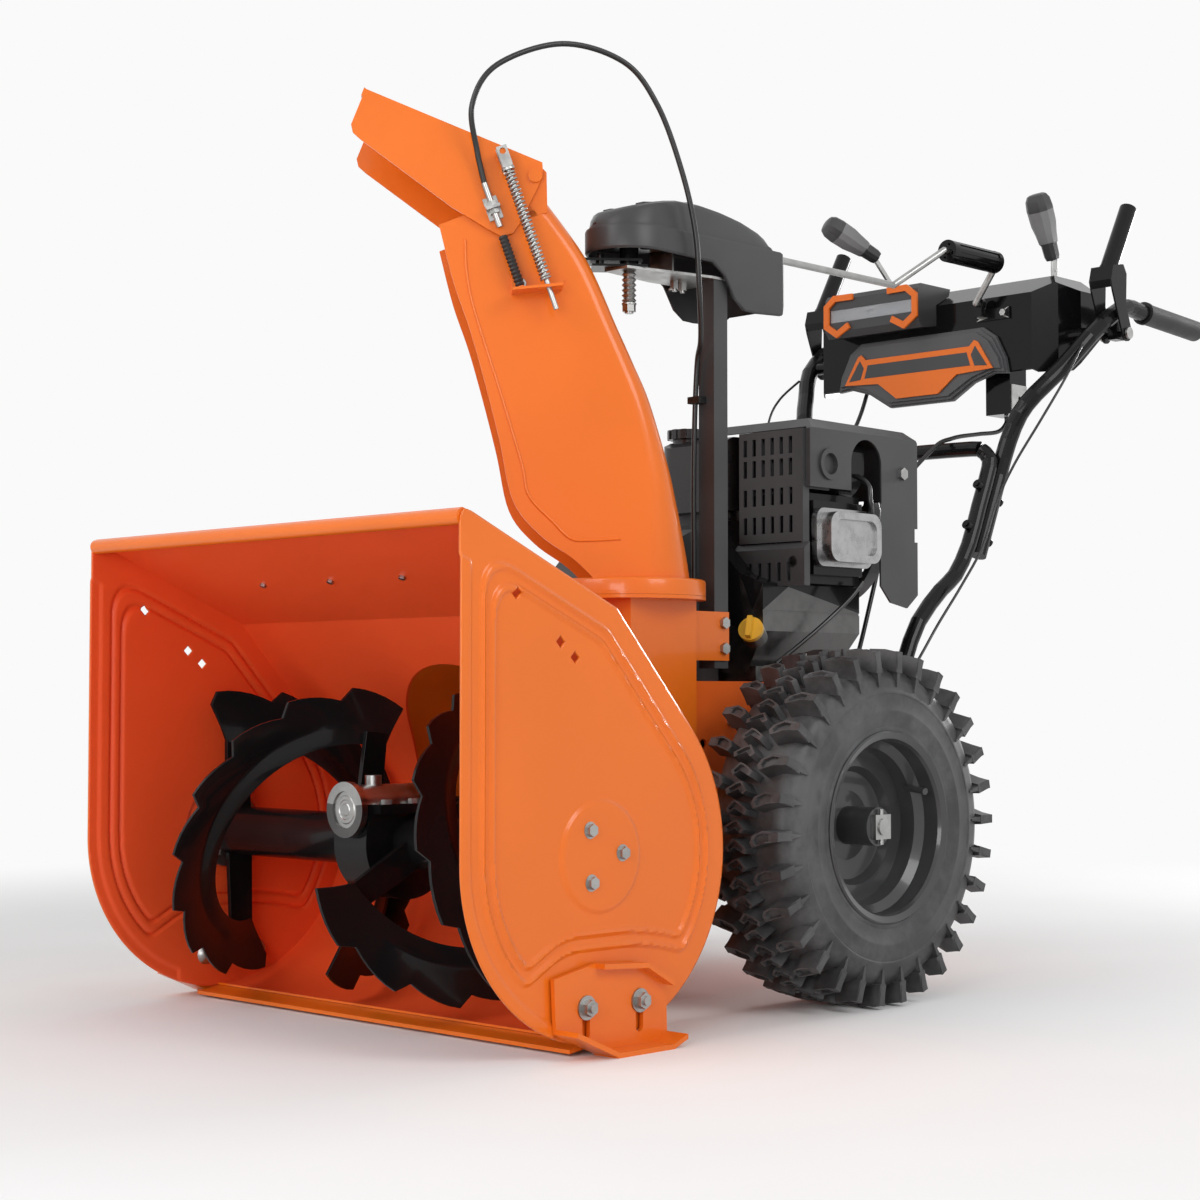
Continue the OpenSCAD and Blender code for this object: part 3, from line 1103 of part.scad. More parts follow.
// ---- Crank ----
crank_a = 37;                      // lean of the throw at rest
throw = [crank_throw * sin(crank_a), 0, crank_throw * cos(crank_a)];
axis0 = [chute_x, 0, crank_z];
roller_y0 = dash_y - 145;
roller_l = 112;
roller_y1 = roller_y0 + roller_l;
journal_y = dash_y - 20;
module crank_rod() place() {
  color(zinc) bent([axis0 + [0, chute_y + ring_r - 8, 0], axis0 + [0, roller_y0 - 68, 0],
    axis0 + throw + [0, roller_y0 - 6, 0], axis0 + throw + [0, roller_y1 + 5.5, 0],
    axis0 + [0, roller_y1 + 8, 0], axis0 + [0, journal_y + 9, 0]], crank_r);
  color(zinc) difference() {
    for (s = [-8, 3]) translate(axis0 + [0, chute_y + ring_r + s, 0]) rotate([-90, 0, 0])
      cylinder(r = 8, h = s < 0 ? 16 : 3);
    translate(axis0 + [0, chute_y, 0]) rotate([-90, 0, 0]) cylinder(r = crank_r, h = 90);
  }
  color(zinc) difference() {
    for (k = [0:ring_teeth / 4 - 1]) translate(axis0 + [0, chute_y + ring_r - 3, 0])
      rotate([0, k * 1440 / ring_teeth, 0]) rotate([-90, 0, 0]) linear_extrude(6)
        polygon([[-1.3, 7], [1.3, 7], [0.95, pinion_r], [0.5, pinion_r + 1.7], [-0.5, pinion_r + 1.7],
          [-0.95, pinion_r]]);
    translate(axis0 + [0, chute_y, 0]) rotate([-90, 0, 0]) cylinder(r = 7.9, h = 90);
  }
}
module crank_roller() color(black) place() translate(axis0 + throw + [0, roller_y0, 0])
  rotate([-90, 0, 0]) difference() {
    union() {
      cylinder(r = roller_r - 1.5, h = roller_l);
      cylinder(r = roller_r, h = 12);
      translate([0, 0, roller_l - 8]) cylinder(r = roller_r, h = 8);
      for (k = [0:7]) rotate([0, 0, k * 45]) translate([roller_r - 3, -2, 0]) cube([2.9, 4, roller_l]);
    }
    translate([0, 0, -1]) cylinder(r = crank_r + run, h = roller_l + 2);
    for (k = [0:3]) rotate([0, 0, k * 90 + 22]) translate([8, -2, -1]) cube([2.5, 4, 9]);
  }
module crank_bracket() color(black) place() {
  difference() {
    union() {
      ycyl(chute_x, journal_y, 7, crank_z, 9);
      box([chute_x - 6, journal_y, crank_z - 18], [chute_x + 6, journal_y + 7, crank_z - 6]);
      box([chute_x - 6, journal_y, crank_z - 18], [chute_x + 6, dash_y - gap, crank_z - 13]);
      box([chute_x - 14, dash_y - gap - 3, crank_z - 22], [chute_x + 40, dash_y - gap, crank_z - 6]);
    }
    ycyl(chute_x, journal_y - 5, 40, crank_z, crank_r + run);
  }
  color(zinc) for (x = [-6, 32]) translate([chute_x + x, dash_y - gap - 3, crank_z - 14])
    rotate([90, 0, 0]) hexhead(5, 5);
}

// ---- Levers ----
module knob(a, b, r0, r1) {
  d = unit(b - a); l = norm(b - a);
  translate(a) rotate([0, acos(d[2]), atan2(d[1], d[0])]) {
    cylinder(r1 = r0, r2 = r0 + 2, h = l * 0.25);
    translate([0, 0, l * 0.25]) cylinder(r1 = r0 + 2, r2 = r1, h = l * 0.3);
    translate([0, 0, l * 0.55]) cylinder(r1 = r1, r2 = r1 - 1, h = l * 0.35);
    intersection() {
      translate([0, 0, l * 0.9 - 6]) sphere(r = r1 - 1 + 4);
      translate([0, 0, l * 0.55]) cylinder(r = r1 - 1, h = l * 0.5);
    }
  }
}
speed_base = [speed_at[0], speed_at[1], speed_at[2] + 66];
speed_tip = [speed_at[0] - 3, speed_at[1] - 36, speed_at[2] + 152];
module speed_lever() place() {
  color(zinc) difference() {
    union() {
      box(speed_at - [2, 6, 0], speed_base + [2, 6, 10]);
      xcyl(speed_at[0] - 3, 6, speed_at[1], speed_at[2], 8);
    }
    xcyl(speed_at[0] - 12, 24, speed_at[1], speed_at[2], 4 + run);
  }
  color(plastic) difference() {
    knob(speed_base, speed_tip, 9, 16);
    box(speed_at - [2, 6, 0], speed_base + [2, 6, 10]);
  }
}
cap_base = [cap_at[0] - 6, cap_at[1] - 38, cap_at[2] + 100];
cap_tip = [cap_at[0] - 46, cap_at[1] - 108, cap_at[2] + 146];
module cap_lever() place() {
  mid = [cap_at[0], cap_at[1] - 2, cap_at[2] + 50];
  color(zinc) difference() {
    union() {
      box(cap_at - [2, 6, 0], [cap_at[0] + 2, cap_at[1] + 6, mid[2]]);
      rod(mid - [0, 0, 4], cap_base + [0, 0, 3], 5);
      rod(cap_base + [0, 0, 3], cap_base + 0.2 * (cap_tip - cap_base), 5);
      xcyl(cap_at[0] - 3, 6, cap_at[1], cap_at[2], 8);
    }
    xcyl(cap_at[0] - 12, 24, cap_at[1], cap_at[2], 4 + run);
  }
  color(plastic) difference() {
    knob(cap_base, cap_tip, 10, 17);
    rod(mid - [0, 0, 4], cap_base + [0, 0, 3], 5);
    rod(cap_base + [0, 0, 3], cap_base + 0.2 * (cap_tip - cap_base), 5);
  }
}

// ---- Wheels ----
tyre_in = rim_r + 2 * run;         // bead sits on the rim
lug_h = 22; lug_l = 20;
module tyre() translate([wheel_x, axle_y, axle_z]) rotate([0, 90, 0]) {
  w = tyre_w / 2; base = tyre_r - lug_h;
  rotate_extrude($fn = 120) polygon([[tyre_in, -w + 12], [tyre_in, -w + 5], [tyre_in + 7, -w + 5],
    [tyre_in + 26, -w + 1], [tyre_in + 44, -w + 1.5], [base - 14, -w + 5], [base - 3, -w + 13],
    [base + 2, 0], [base - 3, w - 13], [base - 14, w - 5], [tyre_in + 44, w - 1.5], [tyre_in + 26, w - 1],
    [tyre_in + 7, w - 5], [tyre_in, w - 5], [tyre_in, w - 12], [tyre_in + 10, w - 13],
    [tyre_in + 30, w - 9], [base - 18, w - 13], [base - 9, w - 26], [base - 7, 0], [base - 9, 26 - w],
    [base - 18, 13 - w], [tyre_in + 30, 9 - w], [tyre_in + 10, 13 - w]]);
  top = sqrt(tyre_r * tyre_r - 100);
  for (s = [0, 1]) mirror([0, 0, s]) for (k = [0:lugs - 1]) rotate([0, 0, (k + s * 0.5) * 360 / lugs]) {
    // Bar across the tread, then the wedge down the shoulder
    intersection() {
      translate([base - 4, 0, 0]) rotate([0, 90, 0]) linear_extrude(top - base + 4)
        polygon([[-3, -9], [-26, -4], [4 - w, 0], [4 - w, 16], [-26, 11], [-3, 3]]);
      cylinder(r = tyre_r, h = w + 5, $fn = 120);
    }
    translate([0, 1, 0]) rotate([-90, 0, 0]) linear_extrude(15)
      polygon([[top - 4, -w + 9], [top - 7, -w + 1], [base + 4, -w - 0.5], [base - 12, -w + 1.5],
        [base - 10, -w + 12]]);
  }
}
module tyre_left() color([0.13, 0.13, 0.13]) place() tyre();
module tyre_right() color([0.13, 0.13, 0.13]) place() mirror([1, 0, 0]) tyre();
hub_x = tyre_w / 2 - 4 - 15;       // hub's outer face from the wheel's middle
module rim() translate([wheel_x, axle_y, axle_z]) rotate([0, 90, 0]) {
  w = tyre_w / 2 - 5 + gap;
  rotate_extrude($fn = 96) polygon([[rim_r + 8, w + 2], [rim_r + 6, w + 4], [rim_r - 1, w + 1], [rim_r - 3, w - 3],
    [rim_r - 3, w - 22], [rim_r - 12, w - 30], [rim_r - 14, 8], [68, 8], [62, -2], [40, -4], [22, -2],
    [22, hub_x], [axle_r + run, hub_x], [axle_r + run, -30], [22, -30], [22, -8], [44, -8], [66, -6],
    [70, 4], [rim_r - 14, 4], [rim_r - 15, -w + 30], [rim_r - 3, -w + 20], [rim_r - 3, -w + 3],
    [rim_r - 1, -w - 1], [rim_r + 6, -w - 4], [rim_r + 8, -w - 2], [rim_r + 6, -w], [rim_r, -w],
    [rim_r, -w + 20], [rim_r - 11, -w + 30], [rim_r - 11, w - 32], [rim_r, w - 22], [rim_r, w],
    [rim_r + 6, w]]);
  // Valve
  rotate([0, 0, 118]) translate([rim_r - 12, 0, w - 34]) rotate([0, -14, 0]) cylinder(r = 4, h = 34);
}
module rim_left() color(black) place() rim();
module rim_right() color(black) place() mirror([1, 0, 0]) rim();
module axle() {
  x1 = wheel_x + hub_x;
  difference() {
    xcyl(frame_w / 2 - 40, x1 + 9 - frame_w / 2 + 40, axle_y, axle_z, axle_r);
    translate([x1 + 4, axle_y, axle_z - 30]) cylinder(r = 2.5, h = 60);
  }
  // Square retaining clip and its pin
  difference() {
    box([x1 + gap, axle_y - 14, axle_z - 14], [x1 + 7, axle_y + 14, axle_z + 14]);
    xcyl(x1 - 5, 30, axle_y, axle_z, axle_r + run);
    translate([x1 + 4, axle_y, axle_z - 30]) cylinder(r = 2.5, h = 60);
  }
  translate([x1 + 4, axle_y, axle_z - 20]) cylinder(r = 2.5, h = 40);
  // Spacer between frame bearing and rim
  difference() {
    xcyl(frame_w / 2 + 12 + gap, wheel_x - 30 - frame_w / 2 - 12 - 2 * gap, axle_y, axle_z, axle_r + 4);
    xcyl(0, housing_w, axle_y, axle_z, axle_r + run);
  }
}
module axle_left() color(zinc) place() axle();
module axle_right() color(zinc) place() mirror([1, 0, 0]) axle();

// ---- Cables ----
// Deflector control cable: from the ferrule over and down to the clip on the post
cable_pts = [[61, 257, 929], [61, 247, 965], [64, 240, 1006], [80, 262, 1052], [112, 332, 1084],
  [136, 407, 1074], [152, 446, 1029], [162, 476, 957], [167, 494, 888], [165, 503, 820],
  [150, 522, 770], [131, 537, 745], [126, 538, 680], [124, 538, 600], [124, 538, 520], [124, 538, 470]];
wire_r = 3.2;
clip_at = [126.7, 538.1, 696];
module deflector_cable() color(black) place() tube(smooth(cable_pts, 4), wire_r);
module cable(p, r, k = 3) tube(smooth(p, k), r);
module control_cables() color(black) place() {
  cable([[112, dash_y + 40, 744 - 2 * gap], [112, dash_y + 39, 733], [111, dash_y + 20, 720],
    [108, 1140, 713], [106, 1085, 703], [104, 1040, 684], [100, 960, 612], [98, 920, 500],
    [98, 885, 410], [98, 862, frame_top + gap]], 3);
  cable([[-110, dash_y + 14, 797], [-112, 1150, 740], [-108, 1060, 640], [-104, 960, 520], [-100, 890, 430],
    [-98, 862, frame_top + gap]], 3);
  both() cable([[246, 1188, 827], [254, 1152, 797], [252, 1125, 764], [236, 1098, 715], [212, 1075, 660],
    [196, 1058, 611], [192, 1030, 550], [189, 985, 496], [184, 940, 445], [177, 902, 395], [170, 874, 368],
    [frame_w / 2 + 2.1, 850, 340]], 1.8, 2);
  // Clip that holds the deflector's cable on the post
  difference() {
    box([post_x0 - 6, post_y0 - gap - 13, clip_at[2]], [post_x0 + 12, post_y0 - gap, clip_at[2] + 8]);
    zcyl(clip_at[0], clip_at[1], clip_at[2] - 10, 30, wire_r + 0.6);
  }
}

housing_wrap();
side_plate_left();
side_plate_right();
scraper_blade();
skid_left();
skid_right();
skid_bolts();
bearing_flanges();
auger_gearcase();
impeller_drum();
post_bracket();
post();
gear_plate();
gear_cover();
tractor_frame();
belt_cover();
engine_block();
engine_shroud();
muffler_guard();
valve_cover();
fuel_tank();
recoil_cover();
handle_loop();
handles();
grips();
console();
console_shield();
shield_trim();
headlight();
light_lens();
crank_bracket();
control_cables();
auger_shaft();
rake_left();
rake_right();
impeller();
tyre_left();
rim_left();
axle_left();
tyre_right();
rim_right();
axle_right();
chute();
chute_arm();
chute_bracket();
deflector();
cable_ferrule();
spring_rod();
deflector_spring();
deflector_cable();
crank_rod();
crank_roller();
clutch_lever_left();
clutch_lever_right();
speed_lever();
cap_lever();
fuel_cap();
oil_cap();
starter_handle();
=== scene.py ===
# %% [markdown]
# # A snow blower, dressed for its picture
# The CAD model already has every size and every joint. This lesson gives it looks:
# finishes made of shader nodes, a few pieces that CAD keeps plain, such as a coil
# spring or a smooth cable, and a small studio with a camera.
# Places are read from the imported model, or given in the same millimetres as its source,
# so each new piece lands where it belongs.

# %% The frame
import json
import math

import bmesh
import bpy
import numpy as np
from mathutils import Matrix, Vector


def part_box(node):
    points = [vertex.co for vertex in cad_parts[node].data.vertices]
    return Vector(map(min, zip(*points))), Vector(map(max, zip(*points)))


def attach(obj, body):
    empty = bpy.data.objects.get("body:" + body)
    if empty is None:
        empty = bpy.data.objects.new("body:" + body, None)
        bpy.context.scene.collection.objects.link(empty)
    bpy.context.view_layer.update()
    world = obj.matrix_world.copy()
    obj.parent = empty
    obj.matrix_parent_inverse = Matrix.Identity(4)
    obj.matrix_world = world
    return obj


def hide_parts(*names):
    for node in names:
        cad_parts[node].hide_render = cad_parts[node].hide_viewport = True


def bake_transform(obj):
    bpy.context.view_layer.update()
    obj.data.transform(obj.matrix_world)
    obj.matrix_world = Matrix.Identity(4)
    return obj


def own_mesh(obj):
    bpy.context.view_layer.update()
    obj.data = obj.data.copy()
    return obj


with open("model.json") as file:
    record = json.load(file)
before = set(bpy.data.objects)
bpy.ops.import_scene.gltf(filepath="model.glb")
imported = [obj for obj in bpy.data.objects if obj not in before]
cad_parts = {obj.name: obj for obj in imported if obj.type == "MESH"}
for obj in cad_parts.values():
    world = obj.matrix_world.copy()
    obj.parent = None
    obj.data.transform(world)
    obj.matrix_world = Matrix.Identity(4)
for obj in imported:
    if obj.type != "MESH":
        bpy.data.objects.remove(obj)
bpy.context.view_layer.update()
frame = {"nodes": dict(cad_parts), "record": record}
MM = 0.001
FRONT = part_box("side_plate_left")[0].y
for plain in list(bpy.data.materials):
    bpy.data.materials.remove(plain)


def at(x, y, z):
    """A point in metres from millimetres, y measured back from the housing's edge."""
    return Vector((x * MM, FRONT + y * MM, z * MM))


# %% [markdown]
# ## Camera
# The machine is seen from low down at its front corner, through a lens a little
# longer than normal, so the housing looks big and the grips stay in view.
# A camera looks along its own -Z, so to_track_quat turns that axis to our direction.

# %% Camera
eye = bpy.data.objects.new("camera", bpy.data.cameras.new("camera"))
bpy.context.scene.collection.objects.link(eye)
eye.data.lens = 65.8
eye.data.sensor_width = 36
eye.data.clip_end = 100
turn, lift = math.radians(44.43), math.radians(2.48)
aim = Vector((-math.sin(turn) * math.cos(lift), math.cos(turn) * math.cos(lift),
              math.sin(lift)))
eye.location = (1.8448, -2.1146, 0.3539)
eye.rotation_euler = aim.to_track_quat("-Z", "Y").to_euler()
bpy.context.scene.camera = eye
print("camera stands", round(eye.location.length, 2), "m from the middle")

# %% [markdown]
# ## Shader sums as plain Python
# A shader node tree is a sum written as boxes and wires. One small class wraps an
# output socket and overloads +, - and *, so a mask can be written as a sum.
# Math nodes work on numbers only. Colours go through the Mix node instead, because
# a Math node would turn them grey.


# %% Wires
class Wire:
    """One output socket of a finish, with the sums that masks need."""

    def __init__(self, finish, socket):
        self.finish, self.socket = finish, socket

    def _math(self, operation, first, second):
        return self.finish.node("Math", {"operation": operation}, {0: first, 1: second})

    def __add__(self, other):
        return self._math("ADD", self, other)

    def __sub__(self, other):
        return self._math("SUBTRACT", self, other)

    def __rsub__(self, other):
        return self._math("SUBTRACT", other, self)

    def __mul__(self, other):
        return self._math("MULTIPLY", self, other)

    __radd__ = __add__
    __rmul__ = __mul__

    def span(self, low, high, new_low=0.0, new_high=1.0):
        """The wire's values from low to high, eased into a new span."""
        return self.finish.node("MapRange", {"interpolation_type": "SMOOTHSTEP"}, {
            "Value": self, "From Min": low, "From Max": high,
            "To Min": new_low, "To Max": new_high})


# %% Finishes
class Finish:
    """A material: its Principled shader, and node() for any other node."""

    def __init__(self, name, **constants):
        self.material = bpy.data.materials.new(name)
        self.material.use_nodes = True
        self.tree = self.material.node_tree
        self.shader = self.tree.nodes["Principled BSDF"]
        self.plug(self.shader, {k.replace("_", " "): v for k, v in constants.items()})
        self.place = self.node("TexCoord", output="Object")

    def plug(self, made, values):
        for key, value in values.items():
            if isinstance(value, Wire):
                self.tree.links.new(value.socket, made.inputs[key])
            else:
                made.inputs[key].default_value = value

    def node(self, kind, settings=None, values=None, output=0):
        made = self.tree.nodes.new("ShaderNode" + kind)
        for key, value in (settings or {}).items():
            setattr(made, key, value)
        self.plug(made, values or {})
        return Wire(self, made.outputs[output])

    def noise(self, scale, detail=3.0, rough=0.5):
        return self.node("TexNoise", None, {"Vector": self.place, "Scale": scale,
                                            "Detail": detail, "Roughness": rough})

    def mix(self, mask, first, second):
        """One colour turned into another where the mask is 1."""
        return self.node("Mix", {"data_type": "RGBA"}, {0: mask, 6: first, 7: second}, 2)

    def show(self, **wires):
        self.plug(self.shader, {k.replace("_", " "): v for k, v in wires.items()})

    def bump(self, height, strength, depth):
        self.show(Normal=self.node("Bump", None, {"Height": height, "Strength": strength,
                                                  "Distance": depth}))
        print("finish", self.material.name)
        return self.material


def shade(color, k):
    """A colour made lighter or darker by a factor, with full alpha."""
    return tuple(min(1.0, c * k) for c in color) + (1.0,)


# %% [markdown]
# ## Powder coat
# Powder coat is plastic dust melted onto steel. Up close its gloss is broken by a
# shallow orange-peel texture. Two noises do it: a fine one for the bump, and a broad
# one that shifts colour and gloss a little, as a film's thickness does.


# %% Powder coat
def powder_coat(name, color, rough, peel=0.12, coat=0.0, ior=1.36):
    paint = Finish(name, IOR=ior, Coat_Roughness=0.08)
    broad = paint.noise(7.0, 1.0).span(0.1, 0.9)
    fine = paint.noise(900.0, 2.0)
    paint.show(Base_Color=paint.mix(broad, shade(color, 0.96), shade(color, 1.04)),
               Roughness=broad.span(0, 1, rough - 0.02, rough + 0.03))
    if coat:
        paint.show(Coat_Weight=coat)
    return paint.bump(fine, peel, 0.0002)


ORANGE = (0.79, 0.16, 0.009)
orange_paint = powder_coat("orange_paint", ORANGE, 0.3, 0.05, 0.3)
# Painted shade: a redder copy of the orange for inner faces, standing in for the red bounce light
# inside the housing
inside_paint = powder_coat("inside_paint", (0.88, 0.1, 0.024), 0.42, 0.08)
# Partly painted shade: a redder copy of the orange for the frame, which lies in shade behind the
# housing
frame_paint = powder_coat("frame_paint", (0.8, 0.13, 0.013), 0.36, 0.06, 0.2)
black_paint = powder_coat("black_paint", (0.007, 0.007, 0.0075), 0.24, 0.05, 0.22, 1.2)
gloss_black = powder_coat("gloss_black", (0.004, 0.004, 0.0045), 0.16, 0.02, 0.3, 1.18)
rim_enamel = powder_coat("rim_enamel", (0.045, 0.045, 0.047), 0.3, 0.06, 0.5, 1.36)

# %% [markdown]
# ## Moulded plastic
# Covers and grips' faces are moulded in a tool with a fine etched grain, so they
# never shine like paint. A Voronoi texture about a millimetre across gives the grain,
# and its bump is kept very low. A finish that only a slot of the record asks for is
# looked up by its name, so it needs no variable.


# %% Moulded plastic
def moulded(name, color, rough, grain, scale=1400.0):
    plastic = Finish(name, IOR=1.46)
    broad = plastic.noise(14.0, 3.0).span(0.3, 0.7)
    pits = plastic.node("TexVoronoi", None, {"Vector": plastic.place, "Scale": scale})
    plastic.show(Base_Color=plastic.mix(broad, shade(color, 0.9), shade(color, 1.1)),
                 Roughness=broad.span(0, 1, rough - 0.03, rough + 0.05))
    return plastic.bump(pits, grain, 0.0002)


black_plastic = moulded("black_plastic", (0.042, 0.042, 0.044), 0.4, 0.12)
moulded("grey_plastic", (0.07, 0.071, 0.074), 0.42, 0.15)
moulded("tank_plastic", (0.03, 0.03, 0.032), 0.3, 0.05)
moulded("gold_plastic", (0.72, 0.4, 0.03), 0.35, 0.08)
knob_plastic = moulded("knob_plastic", (0.2, 0.2, 0.205), 0.5, 0.5, 620.0)

# %% [markdown]
# ## Metals
# Zinc plating is a thin grey-white skin with soft cloudy patches, bare steel is
# darker, and a casting has a sandy surface. A Wave texture could add the rings of
# turned steel, but they are too fine to see from here, so one recipe of two noises
# serves them all. Only colour, roughness and bump tell them apart.


# %% Metals
def metal(name, color, rough, grain, scale, depth=0.0002):
    plated = Finish(name, Metallic=1.0)
    cloud = plated.noise(60.0, 4.0, 0.6).span(0.3, 0.7)
    sand = plated.noise(scale, 3.0)
    plated.show(Base_Color=plated.mix(cloud, shade(color, 0.85), shade(color, 1.1)),
                Roughness=cloud.span(0, 1, rough - 0.06, rough + 0.08))
    return plated.bump(sand, grain, depth)


zinc = metal("zinc", (0.4, 0.4, 0.39), 0.34, 0.08, 500.0)
metal("bare_steel", (0.16, 0.155, 0.15), 0.42, 0.15, 300.0)
cast_alloy = metal("cast_alloy", (0.13, 0.128, 0.126), 0.36, 0.4, 420.0)
metal("cover_steel", (0.4, 0.4, 0.4), 0.3, 0.06, 250.0)

# %% [markdown]
# ## Rubber and glass
# Tyre rubber is nearly black with a grey bloom in soft patches. Grips and cable
# jackets are darker and more even, so they take the same recipe with closer colours.
# The lamp's lens is clear plastic with a slight haze.


# %% Rubber and lens
def rubber(name, color, bloom, rough, grain):
    tread = Finish(name, IOR=1.48)
    patches = tread.noise(22.0, 5.0, 0.65).span(0.35, 0.7)
    pores = tread.noise(700.0, 3.0)
    tread.show(Base_Color=tread.mix(patches, shade(color, 1.0), shade(bloom, 1.0)),
               Roughness=patches.span(0, 1, rough - 0.05, rough + 0.08))
    return tread.bump(pores, grain, 0.0003)


tyre_rubber = rubber("tyre_rubber", (0.034, 0.034, 0.035), (0.085, 0.085, 0.088), 0.48, 0.3)
grip_rubber = rubber("grip_rubber", (0.014, 0.014, 0.014), (0.02, 0.02, 0.02), 0.5, 0.15)
cord_jacket = rubber("cord_jacket", (0.01, 0.01, 0.01), (0.014, 0.014, 0.014), 0.35, 0.05)

lens = Finish("clear_lens", IOR=1.49, Transmission_Weight=0.75)
lens_haze = lens.noise(40.0).span(0.3, 0.7)
lens.show(Base_Color=lens.mix(lens_haze, (0.86, 0.9, 0.94, 1), (0.95, 0.97, 1.0, 1)),
          Roughness=lens_haze.span(0, 1, 0.03, 0.1))
lens.bump(lens.noise(200.0), 0.05, 0.0002)

FINISHES = {m.name: m for m in bpy.data.materials}
print("finishes", len(FINISHES))

# %% [markdown]
# ## Each part takes its finish
# The record says which material slot each part has. A part that is more than one
# thing, such as a tube with its bolts, gets a second finish on some of its faces:
# a face keeps only the number of its material, so no vertex moves.

# %% Finish of every CAD node
# The frame's redder orange is painted shade
SPECIAL = {"console": gloss_black, "tractor_frame": frame_paint,
           "scraper_blade": orange_paint, "post": black_plastic, "rim_left": rim_enamel,
           "rim_right": rim_enamel, "crank_roller": gloss_black}
for part in frame["record"]["subparts"]:
    node = frame["nodes"][part["node"]]
    node.data.materials.clear()
    node.data.materials.append(SPECIAL.get(part["node"], FINISHES[part["material_slot"]]))


def second_finish(name, finish, test):
    """Faces of a CAD node whose middle passes the test get another finish."""
    mesh = frame["nodes"][name].data
    mesh.materials.append(finish)
    number = len(mesh.materials) - 1
    count = 0
    for face in mesh.polygons:
        if test(face.center, face.normal):
            face.material_index = number
            count += 1
    print(name, "has", count, "faces of", finish.name)


# %% [markdown]
# ## One helper for every mesh
# Most pieces of a machine are bent bars, turned parts or flat sheet. All three are
# a skin over rings of points: a bar's rings follow a path, a turned part's rings go
# round an axis, and a sheet has two rings, its outline and the same one pushed on.
# Form gathers such skins, then makes one mesh of them with clean normals. Edges
# sharper than a set angle stay crisp, and a narrow bevel catches the light.


# %% Form
def turns(count):
    """Evenly spread angles of one full turn, in radians."""
    return [2 * math.pi * k / count for k in range(count)]


class Form:
    """Points and faces gathered into one mesh, with the number of each face's finish."""

    def __init__(self):
        self.points, self.faces, self.slots = [], [], []

    def loft(self, rings, slot=0, joined=False, choose=None):
        """A skin over rings of equal length, closed by caps or joined end to end."""
        start, size, count = len(self.points), len(rings[0]), len(rings)
        self.points.extend(p for ring in rings for p in ring)
        for i in range(count if joined else count - 1):
            for j in range(size):
                a, b, k = start + i * size, start + (i + 1) % count * size, (j + 1) % size
                self.faces.append((a + j, a + k, b + k, b + j))
                self.slots.append(choose(i, j) if choose else slot)
        if not joined:
            self.faces.append(tuple(range(start + size - 1, start - 1, -1)))
            self.faces.append(tuple(range(start + (count - 1) * size, start + count * size)))
            self.slots += [slot, slot]

    def tube(self, points, radius, sides=16, slot=0):
        """A round bar along a path. The radius is one number or one for each point."""
        radii = radius if isinstance(radius, list) else [radius] * len(points)
        side, rings = None, []
        for i, p in enumerate(points):
            along = (points[min(i + 1, len(points) - 1)] - points[max(i - 1, 0)]).normalized()
            side = side or along.orthogonal()
            side = (side - along * side.dot(along)).normalized()
            other = along.cross(side)
            rings.append([p + radii[i] * (math.cos(a) * side + math.sin(a) * other)
                          for a in turns(sides)])
        self.loft(rings, slot)

    def lathe(self, centre, axis, profile, sides=48, slot=0, joined=False):
        """A profile of (radius, way along the axis) in millimetres, turned round the axis."""
        side = axis.orthogonal().normalized()
        other = axis.cross(side)
        self.loft([[centre + axis * (s * MM) + r * MM * (math.cos(a) * side + math.sin(a) * other)
                    for a in turns(sides)] for r, s in profile], slot, joined)

    def slab(self, outline, push, slot=0):
        """Flat sheet or bar: an outline and its thickness as a vector."""
        self.loft([outline, [p + push for p in outline]], slot)

    def done(self, name, finishes, body, *stands_for, crease=35, edge=0.0):
        """The gathered skins as one finished piece."""
        mesh = bpy.data.meshes.new(name)
        mesh.from_pydata(self.points, [], self.faces)
        for finish in finishes:
            mesh.materials.append(finish)
        mesh.polygons.foreach_set("material_index", self.slots)
        return settle(name, mesh, body, stands_for, crease, edge)


# %% From a mesh to a piece
def settle(name, mesh, body, stands_for=(), crease=35, edge=0.0):
    """Turn a mesh into a finished piece that rides on a body."""
    clean = bmesh.new()
    clean.from_mesh(mesh)
    bmesh.ops.recalc_face_normals(clean, faces=clean.faces)
    clean.to_mesh(mesh)
    clean.free()
    mesh.polygons.foreach_set("use_smooth", [True] * len(mesh.polygons))
    mesh.set_sharp_from_angle(angle=math.radians(crease))
    piece = bpy.data.objects.new(name, mesh)
    bpy.context.scene.collection.objects.link(piece)
    if edge:
        bevel = piece.modifiers.new("edge", "BEVEL")
        bevel.width = edge * MM
        bevel.segments = 2
        bevel.angle_limit = math.radians(40)
        bevel.harden_normals = True
    if body:
        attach(piece, body)
    if stands_for:
        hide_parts(*stands_for)
    print(name, "has", len(mesh.polygons), "faces")
    return piece


# %% Smooth paths
def curve(points, steps):
    """A smooth curve through given points, a Catmull-Rom spline."""
    out, last = [], len(points) - 1
    for i in range(last):
        a, b = points[max(i - 1, 0)], points[i]
        c, d = points[i + 1], points[min(i + 2, last)]
        for k in range(steps):
            t = k / steps
            out.append(0.5 * (2 * b + (c - a) * t + (2 * a - 5 * b + 4 * c - d) * t ** 2
                              + (3 * b - a - 3 * c + d) * t ** 3))
    return out + [points[last]]


def smooth_path(points, steps=8):
    """The same through points given in millimetres."""
    return curve([at(*p) for p in points], steps)


X_WAY, Y_WAY, Z_WAY = Vector((1, 0, 0)), Vector((0, 1, 0)), Vector((0, 0, 1))

